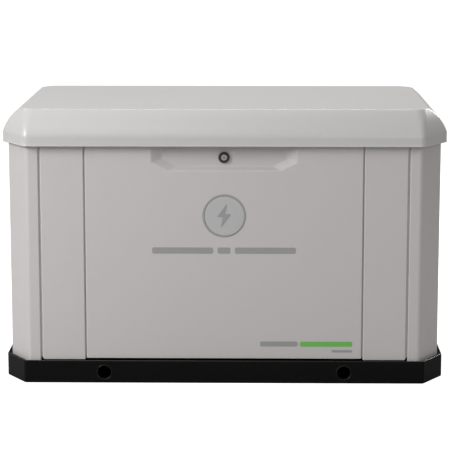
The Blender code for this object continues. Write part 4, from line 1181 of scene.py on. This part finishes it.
    def make(self) -> None:
        """Build everything on the engine."""
        self.make_heads()
        self.make_blower()
        self.make_cleaner()
        self.make_small_parts()


@dataclass
class Exhaust:
    """Bands, straps, flanges and lagging of the exhaust."""

    bolt: Fastener = Fastener(0.010, 0.006, 0.0075)

    def make(self) -> None:
        """Build the silencer's bands and tail pipe, the port flanges and the bulkhead's pads."""
        low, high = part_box("muffler")
        middle = (low + high) / 2.0
        radius = (high.z - low.z) / 2.0
        bands = [ringed(middle, "Y", radius + 0.0022, radius - 0.002, y - 0.003, y + 0.003, 0.0012, 56)
                 for y in (-0.226, 0.226)]
        bands += [ringed(middle, "Y", radius + 0.0012, radius - 0.002, y - 0.011, y + 0.011, 0.0005, 56)
                  for y in (-0.110, 0.110)]
        for y in (-0.110, 0.110):
            bands.append(pad_block((middle.x - 0.006, y - 0.010, low.z - 0.022),
                                   (middle.x + 0.006, y + 0.010, low.z + 0.002), 0.0015, 2))
        set_piece("silencer_bands", merged(bands), ZINC, "cabinet", smooth=50.0)
        tail = swept([(middle.x - 0.010, 0.180, low.z + 0.012), (middle.x - 0.010, 0.180, low.z - 0.040),
                      (middle.x - 0.010, 0.180, 0.180), (middle.x - 0.010, 0.180, 0.066)], 0.015, 20, 5)
        set_piece("tail_pipe", tail, HOT_STEEL, "cabinet")
        flanges, nuts = [], []
        for end in ("front", "rear"):
            low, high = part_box("exhaust_pipe_" + end)
            centre = (0.0, (low.y + high.y) / 2.0, (low.z + high.z) / 2.0)
            flanges.append(ringed(centre, "X", 0.026, 0.0163, high.x - 0.0075, high.x - 0.0008, 0.001))
            nuts += [(high.x - 0.0075, centre[1], centre[2] + z) for z in (-0.021, 0.021)]
        set_piece("port_flanges", merged(flanges), HOT_STEEL, "cabinet")
        set_piece("port_nuts", Fastener(0.007, 0.005, 0.0045).row(nuts, (-1.0, 0.0, 0.0)), ZINC, "cabinet")
        low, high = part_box("exhaust_bulkhead")
        pads = []
        for z in ((0.075, 0.205), (0.215, 0.365), (0.440, 0.540), (0.550, 0.625)):
            for y in ((-0.320, -0.110), (-0.100, 0.100), (0.110, 0.320)):
                pads.append(pad_block((high.x - 0.0003, y[0], z[0]), (high.x + 0.010, y[1], z[1]), 0.004, 3))
        set_piece("bulkhead_liner", merged(pads), LINER, "cabinet")
        places = [(high.x, y, z) for y in (low.y + 0.0075, high.y - 0.0075) for z in (0.10, 0.25, 0.40, 0.60)]
        set_piece("bulkhead_screws", Fastener(0.007, 0.003, 0.0055).row(places, (1.0, 0.0, 0.0)),
                  ZINC, "cabinet")


@dataclass
class Alternator:
    """Ribs, bolts and terminal box of the alternator."""

    ribs: int = 30

    def make(self) -> None:
        """Build the alternator's ribs, through bolts, terminal box and conduit."""
        low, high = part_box("stator_housing")
        axis = Engine.crank_axis()
        radius = high.z - axis.z
        fins = []
        for rib in range(self.ribs):
            angle = 360.0 * rib / self.ribs
            if abs(angle - 180.0) < 40.0:
                continue
            fin = pad_block((low.x + 0.020, axis.y - 0.0016, axis.z + radius - 0.002),
                            (high.x - 0.016, axis.y + 0.0016, axis.z + radius + 0.0035), 0.0008, 1)
            bmesh.ops.rotate(fin, verts=fin.verts, cent=axis,
                             matrix=Matrix.Rotation(math.radians(angle), 3, "X"))
            fins.append(fin)
        for start, end in ((low.x + 0.0005, low.x + 0.012), (high.x - 0.010, high.x - 0.0005)):
            fins.append(ringed(axis, "X", radius + 0.0025, radius - 0.004, start, end, 0.001, 64))
        set_piece("stator_ribs", merged(fins), ENGINE_BLACK, "cabinet")
        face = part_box("alternator_end_bracket")[0].x + 0.0117
        places = []
        for step in range(4):
            turn = math.radians(45.0 + 90.0 * step)
            places.append((face, axis.y + 0.104 * math.cos(turn), axis.z + 0.104 * math.sin(turn)))
        bolts = Fastener(0.012, 0.007, 0.0095).row(places, (1.0, 0.0, 0.0))
        set_piece("through_bolts", bolts, ZINC, "cabinet")
        top = high.z
        box = [pad_block((0.040, -0.045, top - 0.006), (0.140, 0.045, top + 0.030), 0.006, 4),
               pad_block((0.036, -0.049, top + 0.027), (0.144, 0.049, top + 0.034), 0.0025, 3)]
        set_piece("terminal_box", merged(box), ENGINE_BLACK, "cabinet")
        places = [(x, y, top + 0.034) for x in (0.045, 0.135) for y in (-0.040, 0.040)]
        set_piece("terminal_screws", Fastener(0.006, 0.003, 0.0046).row(places, (0.0, 0.0, 1.0)),
                  ZINC, "cabinet")
        low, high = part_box("control_box")
        end = (low.x + 0.060, (low.y + high.y) / 2.0, low.z)
        conduit = swept([(0.139, 0.0, top + 0.014), (0.175, 0.0, top + 0.014), (0.255, -0.030, top + 0.030),
                         (0.350, -0.075, top + 0.050), (end[0], end[1], low.z - 0.040), end],
                        0.0088, 16, 24, 0.0016)
        set_piece("conduit", conduit, BLACK_PLASTIC, "cabinet", smooth=50.0)
        glands = [button(end, "Z", -1, 0.0145, 0.012, 0.001, 6), button(end, "Z", -1, 0.0125, 0.022, 0.002)]
        glands.append(button((0.1395, 0.0, top + 0.014), "X", 1, 0.0125, 0.016, 0.002))
        set_piece("conduit_glands", merged(glands), BLACK_PLASTIC, "cabinet", smooth=25.0)


@dataclass
class Electrics:
    """What shows on the controller and the battery."""

    def make_controller(self) -> None:
        """Build the key frame, the display, the lamps, the breaker's frame and the screws."""
        low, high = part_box("control_box")
        top = high.z
        first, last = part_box("key_auto"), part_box("key_manual")
        frame_low = (first[0].x - 0.010, first[0].y - 0.008)
        frame_high = (last[1].x + 0.010, last[1].y + 0.008)
        bars = [pad_block((frame_low[0], frame_low[1], top - 0.0005),
                          (frame_high[0], first[0].y - 0.0012, top + 0.0014), 0.0006, 2),
                pad_block((frame_low[0], first[1].y + 0.0012, top - 0.0005),
                          (frame_high[0], frame_high[1], top + 0.0014), 0.0006, 2)]
        stops = [frame_low[0]]
        for key in ("key_auto", "key_off", "key_manual"):
            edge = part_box(key)
            stops += [edge[0].x - 0.0012, edge[1].x + 0.0012]
        stops.append(frame_high[0])
        for near, far in zip(stops[::2], stops[1::2]):
            bars.append(pad_block((near, first[0].y - 0.0014, top - 0.0005),
                                  (far, first[1].y + 0.0014, top + 0.0014), 0.0005, 2))
        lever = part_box("breaker_lever")
        middle = (lever[0] + lever[1]) / 2.0
        for inner, outer in (((-0.009, -0.031), (0.009, -0.0225)), ((-0.009, 0.0225), (0.009, 0.031)),
                             ((-0.014, -0.031), (-0.0088, 0.031)), ((0.0088, -0.031), (0.014, 0.031))):
            bars.append(pad_block((middle.x + inner[0], middle.y + 0.002 + inner[1], top - 0.0005),
                                  (middle.x + outer[0], middle.y + 0.002 + outer[1], top + 0.0016),
                                  0.0006, 2))
        set_piece("controller_frames", merged(bars), BLACK_PLASTIC, "cabinet")
        x, y = low.x + 0.040, low.y + 0.100
        bezel = rounded([(x, y), (x + 0.098, y), (x + 0.098, y + 0.056), (x, y + 0.056)],
                        [0.005] * 4, steps=6)
        inner = rounded([(x + 0.008, y + 0.009), (x + 0.090, y + 0.009), (x + 0.090, y + 0.047),
                         (x + 0.008, y + 0.047)], [0.002] * 4, steps=6)
        surround = pulled([raised(bezel, top - 0.0005), raised(bezel, top + 0.0030),
                           raised(inner, top + 0.0030), raised(inner, top - 0.0005)], loop=True)
        set_piece("display_surround", surround, BLACK_PLASTIC, "cabinet", edge=0.0006)
        glass = pad_block((x + 0.008, y + 0.009, top - 0.0005),
                          (x + 0.090, y + 0.047, top + 0.0016), 0.0003, 1)
        set_piece("display_glass", glass, DISPLAY, "cabinet")
        for index, (name, finish) in enumerate((("ready", LAMP_GREEN), ("running", LAMP_GREEN),
                                                ("service", LAMP_AMBER))):
            spot = (x + 0.108, y + 0.012 + 0.014 * index, top - 0.0004)
            lamp = button(spot, "Z", 1, 0.0026, 0.0022, 0.0014, 20)
            set_piece("lamp_" + name, lamp, finish, "cabinet", smooth=70.0)
        plate = pad_block((x, high.y - 0.042, top - 0.0003),
                          (x + 0.098, high.y - 0.018, top + 0.0006), 0.0002, 1)
        set_piece("blank_plate", plate, MARK_PALE, "cabinet")
        places = [(px, py, top) for px in (low.x + 0.010, high.x - 0.010)
                  for py in (low.y + 0.010, high.y - 0.010)]
        set_piece("controller_screws", Fastener(0.006, 0.003, 0.0048).row(places, (0.0, 0.0, 1.0)),
                  ZINC, "cabinet")

    def make_battery(self) -> None:
        """Build the battery's caps, ribs, clamps and hold-down."""
        low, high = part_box("battery")
        top = high.z - 0.016
        lid = [pad_block((low.x - 0.002, low.y - 0.002, top - 0.020),
                         (high.x + 0.002, high.y + 0.002, top - 0.004), 0.002, 3)]
        for step in range(6):
            spot = (low.x + 0.026 + 0.031 * step, low.y + 0.040, top - 0.0005)
            lid.append(button(spot, "Z", 1, 0.0115, 0.0065, 0.0015))
            lid.append(pad_block((spot[0] - 0.008, spot[1] - 0.0012, top + 0.004),
                                 (spot[0] + 0.008, spot[1] + 0.0012, top + 0.0078), 0.0005, 1))
        for step in range(9):
            x = low.x + 0.018 + 0.0214 * step
            lid.append(pad_block((x - 0.002, low.y - 0.0016, low.z + 0.030),
                                 (x + 0.002, low.y + 0.001, top - 0.030), 0.0007, 2))
        set_piece("battery_lid", merged(lid), BATTERY_CASE, "cabinet")
        for name, x, finish in (("positive", low.x + 0.030, RED_LEAD),
                                ("negative", high.x - 0.030, BLACK_LEAD)):
            y = high.y - 0.030
            clamp = [pad_block((x - 0.0145, y - 0.016, top + 0.001),
                               (x + 0.0145, y + 0.016, top + 0.0145), 0.003, 3)]
            set_piece("clamp_" + name, merged(clamp), finish, "cabinet")
        y = (low.y + high.y) / 2.0 + 0.008
        bar = [pad_block((low.x - 0.007, y - 0.010, top + 0.0005),
                         (high.x + 0.007, y + 0.010, top + 0.004), 0.001, 2)]
        for x in (low.x - 0.0045, high.x + 0.0045):
            bar.append(swept([(x, y, low.z + 0.001), (x, y, 0.15), (x, y, top + 0.014)], 0.0022, 10, 2))
            bar.append(Fastener(0.008, 0.005, 0.0062).shape((x, y, top + 0.004), (0.0, 0.0, 1.0)))
        set_piece("battery_hold_down", merged(bar), ZINC, "cabinet")

    def make(self) -> None:
        """Build the controller's and the battery's parts."""
        self.make_controller()
        self.make_battery()


@dataclass
class Fuel:
    """Caps, screws and brass fittings of the gas line."""

    def make(self) -> None:
        """Build the regulator's cap and fittings, and the inlet's union."""
        low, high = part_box("fuel_regulator")
        middle = (low + high) / 2.0
        cap = [button((middle.x, low.y + 0.0005, middle.z), "Y", -1, 0.030, 0.010, 0.003),
               button((middle.x, low.y + 0.0005, middle.z), "Y", -1, 0.012, 0.022, 0.003)]
        set_piece("regulator_cap", merged(cap), CAST, "cabinet")
        places = []
        for step in range(6):
            turn = 2.0 * math.pi * step / 6
            places.append((middle.x + 0.040 * math.cos(turn), low.y, middle.z + 0.040 * math.sin(turn)))
        set_piece("regulator_screws", Fastener(0.006, 0.003, 0.0046).row(places, (0.0, -1.0, 0.0)),
                  ZINC, "cabinet")
        low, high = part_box("fuel_inlet")
        middle = (low + high) / 2.0
        rings = [ringed((middle.x, high.y, middle.z), "Y", 0.0128, 0.0100, -0.014 + 0.0022 * step,
                        -0.0128 + 0.0022 * step, 0.0004, 32) for step in range(5)]
        set_piece("inlet_thread", merged(rings), BRASS, "cabinet")


@dataclass
class Machine:
    """What the cabinet holds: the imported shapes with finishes, and small parts on them."""

    soft_edge: float = 0.0010

    def make_skins(self) -> None:
        """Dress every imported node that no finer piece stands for."""
        slots = {entry["node"]: entry["material_slot"] for entry in frame["record"]["subparts"]}
        for node, thing in sorted(frame["nodes"].items()):
            if thing.hide_render:
                continue
            slot = slots[node]
            edge = 0.0 if node.startswith(("battery_lead", "fuel_hose", "hinge")) else self.soft_edge
            dress_node(node, NODE_FINISH[slot], edge)

    def make(self) -> None:
        """Build everything inside."""
        Engine().make()
        Exhaust().make()
        Alternator().make()
        Electrics().make()
        Fuel().make()
        self.make_skins()


# ---------------------------------------------------------------- studio
@dataclass
class Studio:
    """Camera, floor and lights."""

    eye: Point = (0.0751, -5.4910, 1.3331)
    pitch: float = 9.806
    yaw: float = 0.808
    lens: float = 150.85

    def make_camera(self) -> None:
        """Place the camera."""
        data = bpy.data.cameras.new("camera")
        data.lens = self.lens
        data.sensor_width = 36.0
        data.clip_end = 60.0
        camera = bpy.data.objects.new("camera", data)
        camera.location = self.eye
        camera.rotation_euler = (math.radians(90.0 - self.pitch), 0.0, math.radians(self.yaw))
        bpy.context.scene.collection.objects.link(camera)
        bpy.context.scene.camera = camera

    def make_floor(self) -> None:
        """Lay a pale floor."""
        shape = bmesh.new()
        bmesh.ops.create_grid(shape, x_segments=1, y_segments=1, size=30.0)
        mesh = bpy.data.meshes.new("floor")
        shape.to_mesh(mesh)
        shape.free()
        recipe = Recipe("floor_white")
        lit = recipe.shader
        lit.inputs["Base Color"].default_value = (0.50, 0.50, 0.50, 1.0)
        lit.inputs["Roughness"].default_value = 0.9
        lit.inputs["Specular IOR Level"].default_value = 0.0
        seen = recipe.add("ShaderNodeEmission", None, {"Color": (1.0, 1.0, 1.0), "Strength": 0.9})
        both = recipe.add("ShaderNodeAddShader")
        recipe.tree.links.new(lit.outputs[0], both.inputs[0])
        recipe.tree.links.new(seen.outputs[0], both.inputs[1])
        path = recipe.add("ShaderNodeLightPath")
        mix = recipe.add("ShaderNodeMixShader")
        recipe.tree.links.new(path.outputs["Is Camera Ray"], mix.inputs[0])
        recipe.tree.links.new(lit.outputs[0], mix.inputs[1])
        recipe.tree.links.new(both.outputs[0], mix.inputs[2])
        recipe.tree.links.new(mix.outputs[0], recipe.tree.nodes["Material Output"].inputs[0])
        mesh.materials.append(recipe.material)
        floor = bpy.data.objects.new("floor", mesh)
        floor.location.z = -0.0002
        bpy.context.scene.collection.objects.link(floor)

    def make_light(self, name: str, place: Point, aim: Point, size: tuple[float, float],
                   power: float, colour: Colour = (1.0, 1.0, 1.0)) -> None:
        """Hang one soft box that faces a point."""
        data = bpy.data.lights.new(name, "AREA")
        data.shape = "RECTANGLE"
        data.size, data.size_y = size
        data.energy = power
        data.color = colour
        lamp = bpy.data.objects.new(name, data)
        lamp.location = place
        lamp.rotation_euler = (Vector(aim) - Vector(place)).to_track_quat("-Z", "Y").to_euler()
        bpy.context.scene.collection.objects.link(lamp)

    def make_sky(self) -> None:
        """Fill the room with even light, and show it white behind the object."""
        world = bpy.data.worlds.new("room")
        bpy.context.scene.world = world
        world.use_nodes = True
        nodes, links = world.node_tree.nodes, world.node_tree.links
        background = nodes["Background"]
        background.inputs["Color"].default_value = (1.0, 1.0, 1.0, 1.0)
        background.inputs["Strength"].default_value = 0.36
        white = nodes.new("ShaderNodeBackground")
        white.inputs["Strength"].default_value = 1.1
        path = nodes.new("ShaderNodeLightPath")
        mix = nodes.new("ShaderNodeMixShader")
        links.new(path.outputs["Is Camera Ray"], mix.inputs[0])
        links.new(background.outputs[0], mix.inputs[1])
        links.new(white.outputs[0], mix.inputs[2])
        links.new(mix.outputs[0], nodes["World Output"].inputs[0])

    def make(self) -> None:
        """Set up the whole studio."""
        self.make_camera()
        self.make_floor()
        self.make_sky()
        self.make_light("key_left", (-2.7, -2.0, 2.0), (0.0, -0.2, 0.4), (1.3, 1.3), 90.0)
        self.make_light("key_high", (-0.9, -2.4, 3.4), (0.0, -0.2, 0.4), (1.8, 1.4), 16.0)
        self.make_light("overhead", (-0.3, 0.2, 3.2), (-0.1, 0.0, 0.7), (3.4, 1.6), 20.0)
        self.make_light("back_top", (-0.5, 2.5, 3.0), (0.0, 0.0, 0.7), (3.6, 0.7), 56.0)
        self.make_light("front_fill", (1.9, -4.2, 1.9), (0.0, 0.0, 0.4), (3.0, 2.0), 34.0)
        self.make_light("rim_right", (2.8, 3.0, 2.3), (0.3, 0.0, 0.6), (0.5, 1.6), 60.0)
        view = bpy.context.scene.view_settings
        view.view_transform = "Standard"
        view.look = "None"


def main() -> None:
    """Build the generator and the studio."""
    logging.basicConfig(level=logging.INFO, format="%(name)s: %(message)s")
    Studio().make()
    Roof().make()
    Cabinet().make()
    Door().make()
    Machine().make()
    bpy.context.view_layer.update()


if __name__ == "__main__":
    main()
